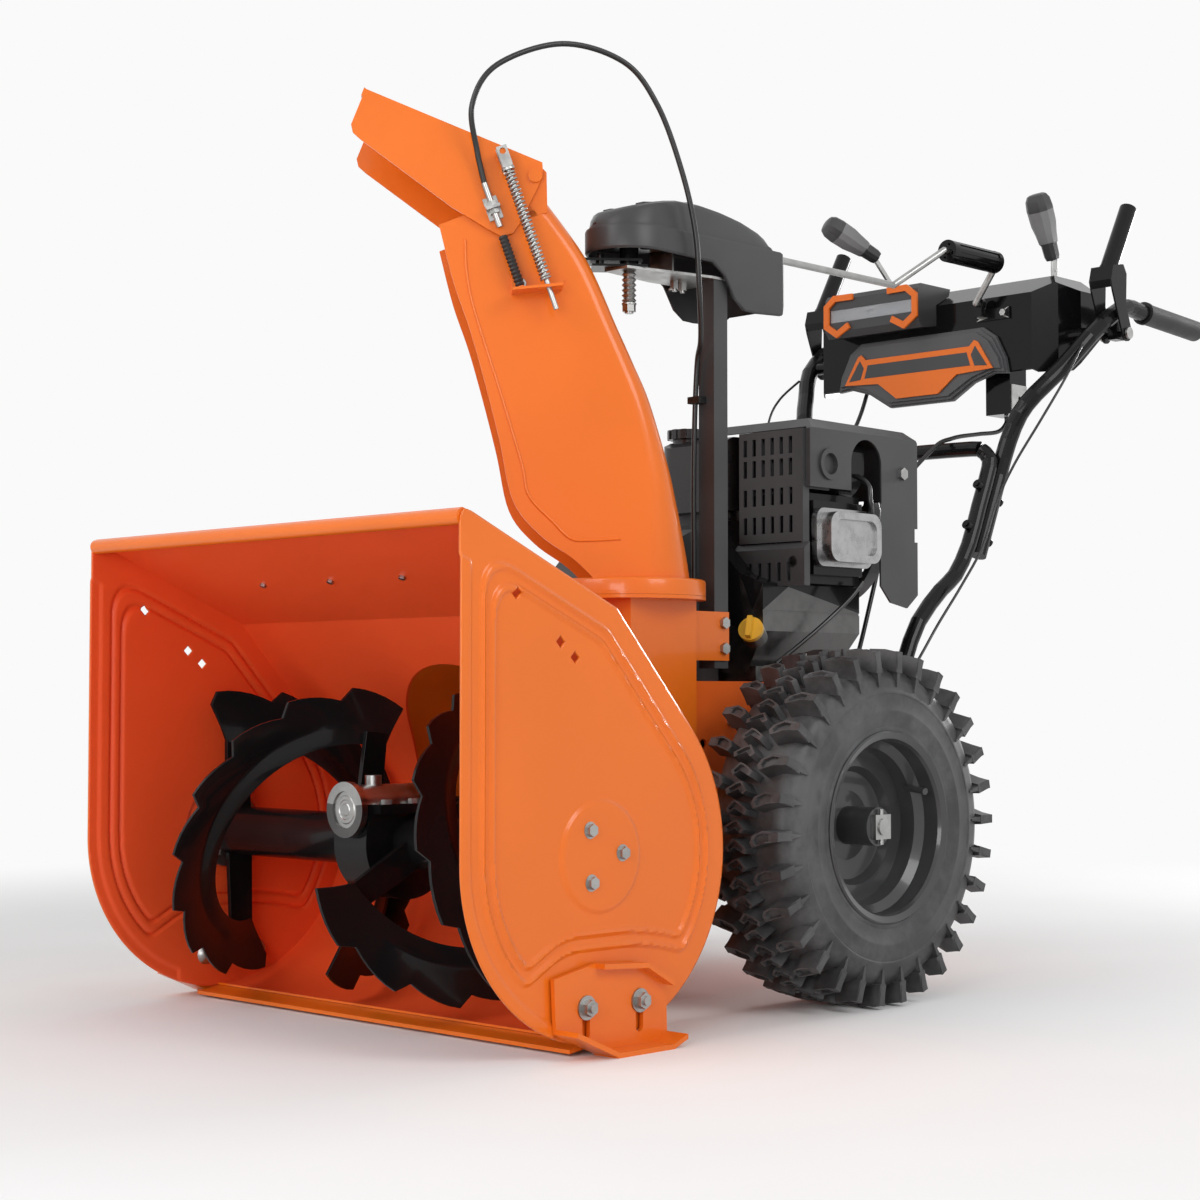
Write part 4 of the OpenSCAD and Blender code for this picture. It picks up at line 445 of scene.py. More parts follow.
# %% [markdown]
# ## Pressed side plates
# The housing's sides are one sheet each. A press gives the sheet two ridges that run
# round near its edge, a raised disc for the bearing and a bead along the front edge,
# and every ridge outside is a groove inside. That is a height over a flat shape, so a
# fine grid is lifted by a formula. The formula needs the distance to the outline, with
# its corners rounded by a smooth minimum, which gives the ridges their round corners.
# The grid's rim is pulled onto the outline, square holes are cut, and Solidify gives
# the sheet its thickness.

# %% Outline of a side plate
shaft_low, shaft_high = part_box("auger_shaft")
PLATE_Y = (shaft_low.y + shaft_high.y) / 2 / MM - FRONT / MM
PLATE_Z = (shaft_low.z + shaft_high.z) / 2 / MM
BARREL = PLATE_Y - 2
TOP_SLOPE, BACK_LEAN = math.radians(23.6), math.radians(42.4)
CREASE_Z = 441
SHEET = 2.5
RIDGE = 2.0
PLATE_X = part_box("side_plate_left")[1].x / MM - RIDGE - SHEET / 2
back_reach = PLATE_Y * math.cos(BACK_LEAN) + PLATE_Z * math.sin(BACK_LEAN) + BARREL
crease_y = (back_reach - CREASE_Z * math.sin(BACK_LEAN)) / math.cos(BACK_LEAN)
top_reach = crease_y * math.sin(TOP_SLOPE) + CREASE_Z * math.cos(TOP_SLOPE)
print("the top and the back meet", round(crease_y), "mm behind the front edge")


def soft_min(a, b, width):
    """The smaller of two distances, with the corner between them rounded."""
    h = np.clip(0.5 + 0.5 * (b - a) / width, 0, 1)
    return b * (1 - h) + a * h - width * h * (1 - h)


def inside(y, z, round_top=16, round_crease=1):
    """How far a point is inside the plate's outline, in millimetres."""
    top = top_reach - y * math.sin(TOP_SLOPE) - z * math.cos(TOP_SLOPE)
    back = back_reach - y * math.cos(BACK_LEAN) - z * math.sin(BACK_LEAN)
    upper = soft_min(soft_min(y, top, round_top), back, round_crease)
    dy = np.where(y < PLATE_Y, (y - PLATE_Y) * BARREL / PLATE_Y, y - PLATE_Y)
    angle = np.degrees(np.arctan2(z - PLATE_Z, dy))
    return np.where(angle < math.degrees(BACK_LEAN), BARREL - np.hypot(dy, z - PLATE_Z), upper)


# %% Heights that the press gives
RIDGE_HALF, RIDGE_HIGH, DISC_HIGH = 3.6, RIDGE + 1.8, 1.5


def slope_line(y, z, y0, z0, rise):
    """How far a point is above a sloped line."""
    return (z - z0 - rise * (y - y0)) / math.hypot(1, rise)


def ridge(distance, centre, half):
    """A rounded ridge along the line where distance is centre."""
    way = np.clip((distance - centre) / half, -1, 1)
    return np.cos(way * math.pi / 2) ** 2


def ease(value, low, high):
    """From 0 to 1 between low and high, soft at both ends."""
    t = np.clip((value - low) / (high - low), 0, 1)
    return t * t * (3 - 2 * t)


def plate_height(y, z):
    """Height of the pressed sheet over its flat, in millimetres."""
    up = slope_line(y, z, 88, 78, 0.55)
    level = z - 105
    down = slope_line(y, z, 255, 105, -0.27)
    low_edge = -soft_min(soft_min(-up, -level, 12), -down, 12)
    loop = soft_min(inside(y, z, 46, 3), low_edge + 28, 9)
    lines = ridge(loop, 28, RIDGE_HALF) + ridge(loop, 41, RIDGE_HALF)
    disc = ease(np.hypot(y - PLATE_Y, z - PLATE_Z), 57, 53)
    under_top = (top_reach - y * math.sin(TOP_SLOPE)) / math.cos(TOP_SLOPE) - z
    bead = ease(inside(y, z), 14.5, 11) * ease(under_top, 46, 50) * ease(y, 125, 121)
    return np.maximum(lines * RIDGE_HIGH, np.maximum(disc * DISC_HIGH, bead) * RIDGE)


# %% The pressed sheet
DIAMONDS = [(72, 452), (132, 406), (152, 391)]
HOLE_HALF, HOLE_CORNER, HOLE_NEAR = 4.5, 6.3, 14
GRID, GRID_BACK, GRID_FOOT, GRID_TOP = 2.0, 380, 6, 585


def cut_diamond(sheet, middle):
    """A square hole that stands on its corner: four cuts, then its faces go."""
    for wy, wz in ((1, 1), (1, -1), (-1, 1), (-1, -1)):
        way = Vector((0, wy, wz)).normalized()
        near = [f for f in sheet.faces
                if (f.calc_center_median() - middle).length < HOLE_NEAR * MM]
        edges = {e for f in near for e in f.edges}
        corners = {v for f in near for v in f.verts}
        bmesh.ops.bisect_plane(sheet, geom=near + list(edges) + list(corners),
                               plane_co=middle + way * HOLE_HALF * MM, plane_no=way)
    offsets = [(f, f.calc_center_median() - middle) for f in sheet.faces]
    hole = [f for f, off in offsets if abs(off.y) + abs(off.z) < HOLE_CORNER * MM]
    bmesh.ops.delete(sheet, geom=hole, context="FACES")


def side_plate(name, side):
    ys, zs = np.arange(-GRID, GRID_BACK, GRID), np.arange(GRID_FOOT, GRID_TOP, GRID)
    y, z = np.meshgrid(ys, zs, indexing="ij")
    inner = inside(y, z) > -0.6 * GRID
    cell = inner[:-1, :-1] & inner[1:, :-1] & inner[:-1, 1:] & inner[1:, 1:]
    used = np.zeros(y.shape, int)
    for i in (0, 1):
        for j in (0, 1):
            used[i:i + cell.shape[0], j:j + cell.shape[1]] += cell
    rim = (used > 0) & (used < 4)
    for _ in range(2):
        gy = (inside(y + 0.1, z) - inside(y - 0.1, z)) / 0.2
        gz = (inside(y, z + 0.1) - inside(y, z - 0.1)) / 0.2
        d = inside(y, z)
        y, z = np.where(rim, y - gy * d, y), np.where(rim, z - gz * d, z)
    x = PLATE_X + plate_height(y, z)
    sheet = bmesh.new()
    points = {}
    for i, j in zip(*np.nonzero(used)):
        points[i, j] = sheet.verts.new(at(side * x[i, j], y[i, j], z[i, j]))
    for i, j in zip(*np.nonzero(cell)):
        sheet.faces.new([points[i, j], points[i + 1, j], points[i + 1, j + 1], points[i, j + 1]])
    for cy, cz in DIAMONDS:
        cut_diamond(sheet, at(side * PLATE_X, cy, cz))
    mesh = bpy.data.meshes.new(name)
    sheet.to_mesh(mesh)
    sheet.free()
    mesh.materials.append(orange_paint)
    mesh.materials.append(inside_paint)
    stands_for = "side_plate_left" if side > 0 else "side_plate_right"
    plate = settle(name, mesh, "chassis", (stands_for,), crease=60)
    if mesh.polygons[0].normal.x * side < 0:
        mesh.flip_normals()
    thick = plate.modifiers.new("sheet", "SOLIDIFY")
    thick.thickness = SHEET * MM
    thick.offset = 0
    # The inner face takes the second finish, a redder orange that is painted shade
    thick.material_offset = 1


side_plate("pressed_side_left", 1)
side_plate("pressed_side_right", -1)

# %% [markdown]
# ## Rakes
# A rake is a ribbon of plate steel wound round the auger's shaft, with saw teeth cut
# in its outer edge to break up ice and a groove pressed along it for stiffness. Each
# ring of the loft is one radial cut through the ribbon, so the teeth are only a radius
# that grows and drops back, and the groove is a small step sideways.

# %% Rakes
AXIS = at(0, PLATE_Y, PLATE_Z)
CASE_GAP = 35
RAKE_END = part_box("rake_left")[1].x / MM
FLIGHT_R, FLIGHT_IN, FLIGHT_T, TOOTH = 168, 105, 4, 14
TEETH, CUTS = 9, 6
RAKE_SPAN = 205
RIBBON_LEAN, GROOVE_DEEP, ARM_T = math.radians(7), 3.5, 6
# How far out from the ribbon's inner edge, and the share of the groove's depth there
GROOVE = ((0, 0), (13, 0), (18, 1), (23, 1), (28, 0))


def round_axis(x, radius, angle):
    return AXIS + Vector((x, radius * math.cos(angle), radius * math.sin(angle))) * MM


def tooth_radius(t):
    """A tooth swells outward and drops back in one short step."""
    u = t * TEETH % 1
    swell = 1 - (1 - min(u / 0.86, 1)) ** 1.5
    return FLIGHT_R - TOOTH * (1 - swell if u < 0.87 else 1)


def flight(form, side, x0, x1, start, span):
    rings = []
    count = TEETH * CUTS
    for i in range(count + 1):
        t = i / count
        x = x0 + (x1 - x0) * t
        groove = GROOVE_DEEP * float(ease(min(t, 1 - t), 0.13, 0.17))
        edge = tooth_radius(min(t, 0.9999) if i % CUTS else t + 1e-6)
        cut = []
        for r, step in [(FLIGHT_IN + out, share) for out, share in GROOVE] + [(edge, 0)]:
            slant = RIBBON_LEAN * (2 * t - 1) ** 3 * (r - FLIGHT_IN) / (FLIGHT_R - FLIGHT_IN)
            cut.append((x + step * groove, r, start + span * t + slant))
        near = [round_axis(side * (cx - FLIGHT_T / 2), r, a) for cx, r, a in cut]
        far = [round_axis(side * (cx + FLIGHT_T / 2), r, a) for cx, r, a in reversed(cut)]
        rings.append(near + far)
    form.loft(rings)


def rake(name, side, start, stands_for):
    """Two ribbons half a turn apart, with the angles and ends that the CAD rake has."""
    form = Form()
    inner = shaft_high.z / MM - PLATE_Z + 0.05
    profile = [(inner, CASE_GAP), (inner + 4.5, CASE_GAP), (inner + 4.5, RAKE_END),
               (inner, RAKE_END)]
    form.lathe(AXIS, X_WAY * side, profile, 32, joined=True)
    near, far = CASE_GAP + 16, RAKE_END - 12
    for first in (start, start + 180):
        flight(form, side, near, far, math.radians(first), math.radians(RAKE_SPAN))
        for x, turn in ((near, first + 8), (far, first + RAKE_SPAN - 8)):
            angle = math.radians(turn)
            out = Vector((0, math.cos(angle), math.sin(angle)))
            across = Vector((0, -out.z, out.y))
            root, tip = inner + 1, FLIGHT_IN + 14
            outline = [AXIS + (out * r + across * w) * MM + X_WAY * side * (x - ARM_T / 2) * MM
                       for r, w in ((root, -17), (tip, -15), (tip, 15), (root, 17))]
            form.slab(outline, X_WAY * side * ARM_T * MM)
    return form.done(name, [black_paint], "auger", stands_for, edge=0.6)


rake("rake_flights_left", 1, 20, "rake_left")
rake("rake_flights_right", -1, 75, "rake_right")

# %% [markdown]
# ## Tyres
# A snow tyre has claws on both shoulders and hooks between them. Each claw is a lofted
# pad with a sunk pocket, and a pointed wedge that runs down the sidewall. The casing
# is one turned profile with thin rings on the sidewall.

# %% Tyres
TREAD_R = (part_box("tyre_left")[1].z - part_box("tyre_left")[0].z) / 2 / MM
CLAWS = 30
SHOULDER, SHOULDER_DROP = 50, 0.35
# Outlines seen from outside, as (across, along), and the wedge that runs down the side
# as (outer across, its radius, inner across, its radius, along from, along to)
CLAW = ((58.5, -3), (58.5, 7), (44, 9), (26, 15), (22, 9), (26, 2), (40, -4))
HOOK = ((3, 8), (17, 16), (14, 22), (-2, 15), (-9, 21), (-14, 17), (-4, 6))
CLAW_TOP = TREAD_R - 3.5
TAIL = ((59.8, CLAW_TOP, 50, CLAW_TOP, -3, 7), (60.4, 182, 50, 178, -1.5, 6),
        (59, 160, 55, 160, 1, 3))
casing_half = [(101.6, 49), (101.6, 55.5), (104, 56.5), (108, 56.2), (109.5, 57.4), (113, 57.6),
               (114.5, 56.8), (122, 58), (130, 59.4), (131.5, 60.2), (133.5, 60.2), (135, 59.4),
               (144, 59.4), (151, 58.8), (152.5, 59.6), (155, 59.4), (156.5, 58.4), (166, 56.6),
               (174, 53), (179.5, 46), (182, 36), (183.5, 18), (184, 0)]
lining = [(174, 30), (160, 50), (130, 54), (112, 51)]


def tyre(name, side, body, stands_for):
    form = Form()
    low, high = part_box(stands_for)
    middle = (low + high) / 2
    mirror_half = [(r, -s) for r, s in reversed(casing_half[:-1])]
    profile = (casing_half + mirror_half + [(r, -s) for r, s in reversed(lining)] + lining)
    form.lathe(middle, X_WAY * side, profile, 120, joined=True)

    def spot(across, radius, angle, along=0.0):
        """A point on the tread: along is a step in the turning direction."""
        out = Vector((0, math.cos(angle), math.sin(angle)))
        way = Vector((0, -out.z, out.y))
        return middle + (X_WAY * side * across + out * radius + way * along) * MM

    def pad(outline, angle, base, top):
        middle_s = sum(s for s, _ in outline) / len(outline)
        middle_t = sum(t for _, t in outline) / len(outline)

        def ring(scale, radius):
            return [spot(middle_s + (s - middle_s) * scale,
                         radius - SHOULDER_DROP * max(0, abs(s) - SHOULDER),
                         angle, middle_t + (t - middle_t) * scale) for s, t in outline]
        form.loft([ring(1.1, base), ring(1, top), ring(0.72, top), ring(0.66, top - 4)])

    for edge in (1, -1):
        for k in range(CLAWS):
            angle = 2 * math.pi * (k + (0 if edge > 0 else 0.5)) / CLAWS
            pad([(edge * s, t) for s, t in CLAW], angle, 179, TREAD_R - 1)
            form.loft([[spot(edge * s, r, angle, t)
                        for s, r in ((47, 170), (59.4 + swell, peak), (47, CLAW_TOP))]
                       for t, swell, peak in ((-3, 0, CLAW_TOP), (-2, 0.8, CLAW_TOP - 1),
                                              (6, 0.8, CLAW_TOP - 1), (7, 0, CLAW_TOP))])
            form.loft([[spot(edge * s0, r0, angle, t0), spot(edge * s0, r0, angle, t1),
                        spot(edge * s1, r1, angle, t1), spot(edge * s1, r1, angle, t0)]
                       for s0, r0, s1, r1, t0, t1 in TAIL])
            pad([(edge * s, t) for s, t in HOOK], angle, 182, TREAD_R - 1.5)
    return form.done(name, [tyre_rubber], body, stands_for, crease=32)


tyre("snow_tyre_left", 1, "wheel_left", "tyre_left")
tyre("snow_tyre_right", -1, "wheel_right", "tyre_right")

# %% [markdown]
# ## Chute
# The chute is one deep U of sheet steel that bends forward as it rises. Its front and
# back edges are two side-view curves, and every ring of the loft is a U drawn between
# them, outside first and inside back again, so the sheet has its real thickness.

# %% Chute's own frame and its edges
TURN_X, TURN_Y = 107, 446
TURN = math.radians(-41.5)
CHUTE_W, CHUTE_T, COLLAR_R = 150, 2.5, 88
GAP = 0.3


def chute_at(x, y, z):
    """A point given in the chute's own frame, which is turned about the tower."""
    return at(TURN_X + x * math.cos(TURN) - y * math.sin(TURN),
              TURN_Y + x * math.sin(TURN) + y * math.cos(TURN), z)


front_edge = [(-38, 475), (-67, 504), (-106, 532), (-136, 570), (-151, 637), (-167, 700),
              (-184, 760), (-203, 815), (-219, 878)]
back_edge = [(70, 472), (62, 516), (50, 572), (39, 616), (18, 685), (0, 727), (-18, 767),
             (-54, 846), (-109, 922)]
corner_r = [62, 50, 38, 28, 22, 20, 20, 20, 20]
fronts = curve([Vector((0, y, z)) for y, z in front_edge], 6)
backs = curve([Vector((0, y, z)) for y, z in back_edge], 6)
rounds = [r.x for r in curve([Vector((r, 0, 0)) for r in corner_r], 6)]


def u_ring(front, back, radius, inset):
    """A U seen along the chute, between its two edges, drawn in by inset."""
    depth = (back - front).length
    way = (back - front) / depth
    wide, deep, r = CHUTE_W / 2 - inset, depth - inset, radius - inset
    bend = [(-wide + r - r * math.cos(a), deep - r + r * math.sin(a))
            for a in (math.radians(k * 9) for k in range(11))]
    flat = [(-wide, 0)] + bend + [(-x, s) for x, s in reversed(bend)] + [(wide, 0)]
    return [chute_at(x, *(front + way * s).yz) for x, s in flat]


# %% Chute's sheet, collar, ears and side lines
form = Form()
form.loft([u_ring(f, b, r, 0) + u_ring(f, b, r, CHUTE_T)[::-1]
           for f, b, r in zip(fronts, backs, rounds)])
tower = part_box("impeller_drum")[1].z / MM + GAP
form.lathe(chute_at(0, 0, 0), Z_WAY, [(COLLAR_R, tower), (COLLAR_R, tower + 15.5),
                                      (COLLAR_R - 1, tower + 18), (COLLAR_R - 3.5, tower + 19),
                                      (71, tower + 19), (71, tower + 6), (82, tower + 6),
                                      (82, tower)], 96, joined=True)
CAP_Y, CAP_Z = -112, 934
ear = [(CAP_Y + 14, CAP_Z - 40), (CAP_Y - 50, CAP_Z - 62), (CAP_Y - 13, CAP_Z + 5),
       (CAP_Y - 6, CAP_Z + 12), (CAP_Y + 6, CAP_Z + 12), (CAP_Y + 13, CAP_Z + 5)]
line = [(-190, 862), (-184, 800), (-150, 690), (-126, 610), (-118, 575), (-92, 547),
        (-72, 528), (-50, 526), (-16, 528)]
for side in (-1, 1):
    outer = side * CHUTE_W / 2
    form.slab([chute_at(outer, y, z) for y, z in ear],
              chute_at(outer - side * CHUTE_T, 0, 0) - chute_at(outer, 0, 0))
    form.tube([chute_at(outer, p.y, p.z) for p in
               curve([Vector((0, y, z)) for y, z in line], 6)], 1.6 * MM, 8)
form.done("chute_shell", [orange_paint], "chute", "chute", crease=50)

# %% [markdown]
# ## Cables
# Each cable follows a few given points on one smooth curve. The deflector's
# cable crosses two joints, so it is two pieces: the first runs between deflector and
# chute, the second between chute and frame.

# %% Deflector's cable
WIRE, STEPS = 3.2, 10
cable_points = [(60.3, 263, 920), (58, 253, 958), (64, 240, 1006), (80, 262, 1052),
                (112, 332, 1084), (136, 407, 1074), (152, 446, 1029), (162, 476, 957),
                (167, 494, 888), (165, 503, 820), (150, 522, 770), (131, 537, 745),
                (126, 538, 680), (124, 538, 600), (124, 538, 520), (124, 538, 470)]
route = smooth_path(cable_points, STEPS)
split = 3 * STEPS
for name, part in (("cable_top", route[:split + 1]), ("cable_run", route[split:])):
    form = Form()
    form.tube(part, WIRE * MM, 14)
    piece = form.done(name, [cord_jacket], None, "deflector_cable")
    if name == "cable_top":
        tuple(at(*cable_points[0]))
        tuple(at(*cable_points[3]))
        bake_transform(piece)
    else:
        tuple(at(*cable_points[3]))
        tuple(at(*cable_points[10]))
        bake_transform(piece)

# %% Control cables and the clip on the post
form = Form()
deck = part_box("tractor_frame")[1].z / MM + GAP
middle_runs = [
    [(112, 1205, 743.4), (112, 1204, 733), (111, 1185, 720), (108, 1140, 713), (106, 1085, 703),
     (104, 1040, 684), (100, 960, 612), (98, 920, 500), (98, 885, 410), (98, 862, deck)],
    [(-110, 1179, 797), (-112, 1150, 740), (-108, 1060, 640), (-104, 960, 520), (-100, 890, 430),
     (-98, 862, deck)]]
clutch_run = [(246, 1188, 827), (254, 1152, 797), (252, 1125, 764), (236, 1098, 715),
              (212, 1075, 660), (196, 1058, 611), (192, 1030, 550), (189, 985, 496),
              (184, 940, 445), (177, 902, 395), (170, 874, 368), (150.1, 850, 340)]
for points in middle_runs:
    form.tube(smooth_path(points), 3 * MM, 12)
for side in (-1, 1):
    form.tube(smooth_path([(side * x, y, z) for x, y, z in clutch_run], 6), 1.8 * MM, 10)
clip = [(120, 696), (120, 704), (138, 704), (138, 696)]
form.slab([at(x, 531.7, z) for x, z in clip], Y_WAY * 13 * MM)
form.done("cables", [cord_jacket], "chassis", "control_cables")

# %% [markdown]
# ## Coil spring and ribbed boot
# A spring is a tube along a helix. Its first and last turns lie close together, as
# they do on a real spring with ground ends. It stands on the deflector's rod. The rubber
# boot beside it is one turned profile.

# %% A helix
TURN_STEPS = 18


def coil(start, end, radius, wire, turns_wanted):
    """Points of a helix with closed ends."""
    axis = (end - start).normalized()
    side = axis.orthogonal().normalized()
    other = axis.cross(side)
    length = (end - start).length - 2 * wire
    out, steps = [], turns_wanted * TURN_STEPS
    for i in range(steps + 1):
        t = i / steps
        turn = t * turns_wanted
        if turn < 1:
            way = turn * wire * 2 / length
        elif turn > turns_wanted - 1:
            way = 1 - (turns_wanted - turn) * wire * 2 / length
        else:
            share = (turn - 1) / (turns_wanted - 2)
            way = wire * 2 / length + share * (1 - wire * 4 / length)
        a = 2 * math.pi * turn
        out.append(start + axis * (wire + way * length)
                   + radius * (math.cos(a) * side + math.sin(a) * other))
    return out


# %% The deflector's spring
pin, hole = (-149, 955), (-99, 810)
CAP_OUT = CHUTE_W / 2 + GAP + 2.5 + 2.5
ROD_X = CAP_OUT + 17.5
WIRE_X = ROD_X - 11.5
COIL_R, COIL_WIRE, COIL_TURNS = 5.5, 1.2, 29
rod_top, rod_foot = chute_at(ROD_X, *pin), chute_at(ROD_X, *hole)
rod_way = (rod_foot - rod_top).normalized()
form = Form()
form.tube(coil(rod_top + rod_way * 21.3 * MM, rod_foot - rod_way * 3.3 * MM, COIL_R * MM,
               COIL_WIRE * MM, COIL_TURNS), COIL_WIRE * MM, 8)
spring = form.done("rod_spring", [zinc], "spring_link", "deflector_spring")
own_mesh(spring)

# %% Ribbed rubber boot over the wire's lower end
boot_foot, boot_top = chute_at(WIRE_X, -128.5, 808), chute_at(WIRE_X, -148.2, 864)
RIBS, BOOT_R, RIB_HIGH = 26, 4.4, 1.2
form = Form()
form.lathe(boot_foot, (boot_top - boot_foot).normalized(),
           [(BOOT_R + (RIB_HIGH if i % 2 else 0), (boot_top - boot_foot).length / MM * i / RIBS)
            for i in range(RIBS + 1)], 24)
form.done("cable_boot", [grip_rubber], "chute")

# %% [markdown]
# ## Cover of the chute's gears
# The cover is one moulding, open below, with a flange, a narrower hump on it and a
# softly domed top. Its plan is the same at every level, only drawn in a little, so it
# is a loft of plans. The heights come from two profiles along the machine, one for the
# underside and one for the top. A second set of plans, a wall thickness further in,
# runs back down and makes it a shell.

# %% Plans and levels of the cover
COVER_X, COVER_Y, COVER_R, COVER_END, COVER_WALL = 107, 446, 51, 224, 2.5
UNDER = ((-80, 862), (92, 860), (112, 846), (132, 816), (150, 808), (216, 812), (224, 828))
OVER = ((-80, 895), (-50, 904), (-22, 913), (10, 922), (40, 927), (80, 928), (118, 925),
        (150, 920), (180, 912), (212, 897), (224, 884))
LEDGE = 889


def cover_plan(inset, back):
    """The cover's outline seen from above, drawn in by inset, and by back at its end."""
    r = COVER_R - inset
    front = [(r * math.cos(math.radians(a)), r * math.sin(math.radians(a)))
             for a in range(180, 361, 6)]
    end = COVER_END - back
    share = [0.1, 0.2, 0.3, 0.4, 0.5, 0.58, 0.66, 0.74, 0.82, 0.9]
    side = [(r, end * k) for k in share]
    side += [(r, end - 8), (max(r - 3, 0.2), end - 3), (max(r - 9, 0.1), end)]
    return front + side + [(-x, y) for x, y in reversed(side)]


def level_at(profile, y):
    """The height of a profile at y."""
    return float(np.interp(y, [a for a, _ in profile], [b for _, b in profile]))


def cover_ring(inset, back, rule):
    out = []
    for x, y in cover_plan(inset, back):
        out.append(at(COVER_X + x, COVER_Y + y, rule(level_at(UNDER, y), level_at(OVER, y))))
    return out


# %% The cover's shell
# Each ring: drawn in at the sides, at the back, and its level from the two profiles
COVER_RINGS = [
    (1.2, 1.2, lambda under, over: under),
    (0, 0, lambda under, over: under + 2),
    (0, 0, lambda under, over: min(LEDGE - 2, over - 4)),
    (1, 3, lambda under, over: min(LEDGE, over - 2.5)),
    (4, 14, lambda under, over: min(LEDGE + 0.6, over - 2)),
    (5, 16, lambda under, over: min(LEDGE + 4, over - 1.5)),
    (6.5, 19, lambda under, over: max(over - 9, min(LEDGE + 4.5, over - 1))),
    (10, 23, lambda under, over: max(over - 3, min(LEDGE + 5, over - 0.8))),
    (15, 28, lambda under, over: over - 0.5),
    (24, 36, lambda under, over: over),
    (38, 48, lambda under, over: over + 0.4),
    (50.8, 60, lambda under, over: over + 0.5)]
outer = [cover_ring(*ring) for ring in COVER_RINGS]
inner = [cover_ring(min(inset + COVER_WALL, 50.9), back + COVER_WALL, rule)
         for inset, back, rule in COVER_RINGS]
drop = Vector((0, 0, -COVER_WALL * MM))
inner[1:] = [[p + drop for p in ring] for ring in inner[1:]]


def painted_opening_shade(ring, step):
    """Painted shade: gloss black in the hump's front, standing in for the dark inside where the
    real cover is cut open.
    """
    return 1 if 5 <= ring <= 6 and 9 <= step <= 12 else 0


form = Form()
# Gloss black faces in the hump's front are painted shade of the cover's opening
form.loft(outer + inner[::-1], joined=True, choose=painted_opening_shade)
for x in (-26, 26):
    form.slab([at(COVER_X + x + dx, COVER_Y + dy, level_at(OVER, dy) - 1)
               for dx, dy in ((-6, -10), (6, -10), (6, 66), (-6, 66))], Vector((0, 0, 2.6 * MM)))
form.done("drive_cover", [black_plastic, gloss_black], "chassis", "gear_cover", crease=28)

# %% [markdown]
# ## Levers and their knobs
# A knob here is a hand-sized block of black plastic with grey grip faces let into its
# sides. It is a loft of rounded rectangles along a line, and the loft tells each
# face which of the two finishes it gets. The bars below are flat zinc strips.

# %% A knob


def rounded_ring(centre, wide, deep, half_w, half_d, corner=0.45):
    """Eight-sided rounded rectangle in the plane of two directions."""
    c, d = half_w * (1 - corner), half_d * (1 - corner)
    return [centre + wide * x * MM + deep * y * MM for x, y in
            ((half_w, -d), (half_w, d), (c, half_d), (-c, half_d),
             (-half_w, d), (-half_w, -d), (-c, -half_d), (c, -half_d))]


def knob(form, base, tip, sizes, grips_from, grips_to):
    """Black block with grey faces. Sizes are (share of the way, half width, half depth)."""
    way = (tip - base).normalized()
    wide = X_WAY - way * X_WAY.dot(way)
    wide.normalize()
    deep = way.cross(wide)
    rings = [rounded_ring(base + (tip - base) * t, wide, deep, a, b) for t, a, b in sizes]

    def face_finish(i, j):
        return 1 if grips_from <= i < grips_to and j in (0, 4, 5, 6, 7) else 0
    form.loft(rings, 0, choose=face_finish)


# %% Speed lever and deflector lever
KNOB_SIZES = [(0, 8, 8), (0.06, 9.5, 9.5), (0.24, 10, 10), (0.27, 12, 11), (0.42, 13.5, 13),
              (0.56, 16, 15), (0.76, 16.5, 15.5), (0.79, 16.8, 15.8), (0.93, 15.5, 14.5),
              (1.0, 12.5, 11), (1.02, 9, 8)]
speed_at, cap_at = at(155, 1260, 900), at(-112, 1253, 900)
for name, body, foot, base, tip, stands_for in (
        ("speed_control", "speed", speed_at, speed_at + Vector((0, 0, 66)) * MM,
         speed_at + Vector((-3, -36, 152)) * MM, "speed_lever"),
        ("cap_control_lever", "cap_control", cap_at, cap_at + Vector((-6, -38, 100)) * MM,
         cap_at + Vector((-46, -108, 146)) * MM, "cap_lever")):
    form = Form()
    knob(form, base, tip, KNOB_SIZES, 3, 6)
    bend = foot + Vector((0, -2, 50)) * MM if body == "cap_control" else base
    path = [foot, bend, base + (tip - base) * 0.15]
    for low, high in zip(path, path[1:]):
        if (high - low).length > 2 * MM:
            step = Y_WAY * 6 * MM
            form.slab([low - step, low + step, high + step, high - step], X_WAY * 4 * MM, 2)
    form.lathe(foot - X_WAY * 3 * MM, X_WAY, [(8, 0), (8, 6), (4.1, 6), (4.1, 0)], 32, 2, True)
    form.tube([foot + Vector((2, 0, 50)) * MM * 0.98, foot + Vector((2, 0, 52)) * MM],
              3 * MM, 12, 2)
    form.done(name, [black_plastic, knob_plastic, zinc], body, stands_for, crease=30, edge=0.8)

# %% [markdown]
# ## Trim on the console
# The orange trim is thin moulded plastic: two hooks round the lamp, drawn as strokes of
# even width with mitred corners, and a framed plate under it. Its windows are bare and
# black, which leaves the place for a badge plain.

# %% A stroke of even width


def stroke(points, width):
    """Outline of a line of even width with mitred corners."""
    left, right = [], []
    for i, p in enumerate(points):
        before = (p - points[i - 1]).normalized() if i else None
        after = (points[i + 1] - p).normalized() if i < len(points) - 1 else None
        before, after = before or after, after or before
        normal = Vector((-(before.y + after.y), before.x + after.x)).normalized()
        reach = width / 2 / max(0.4, normal.dot(Vector((-after.y, after.x))))
        left.append(p + normal * reach)
        right.append(p - normal * reach)
    return left, right


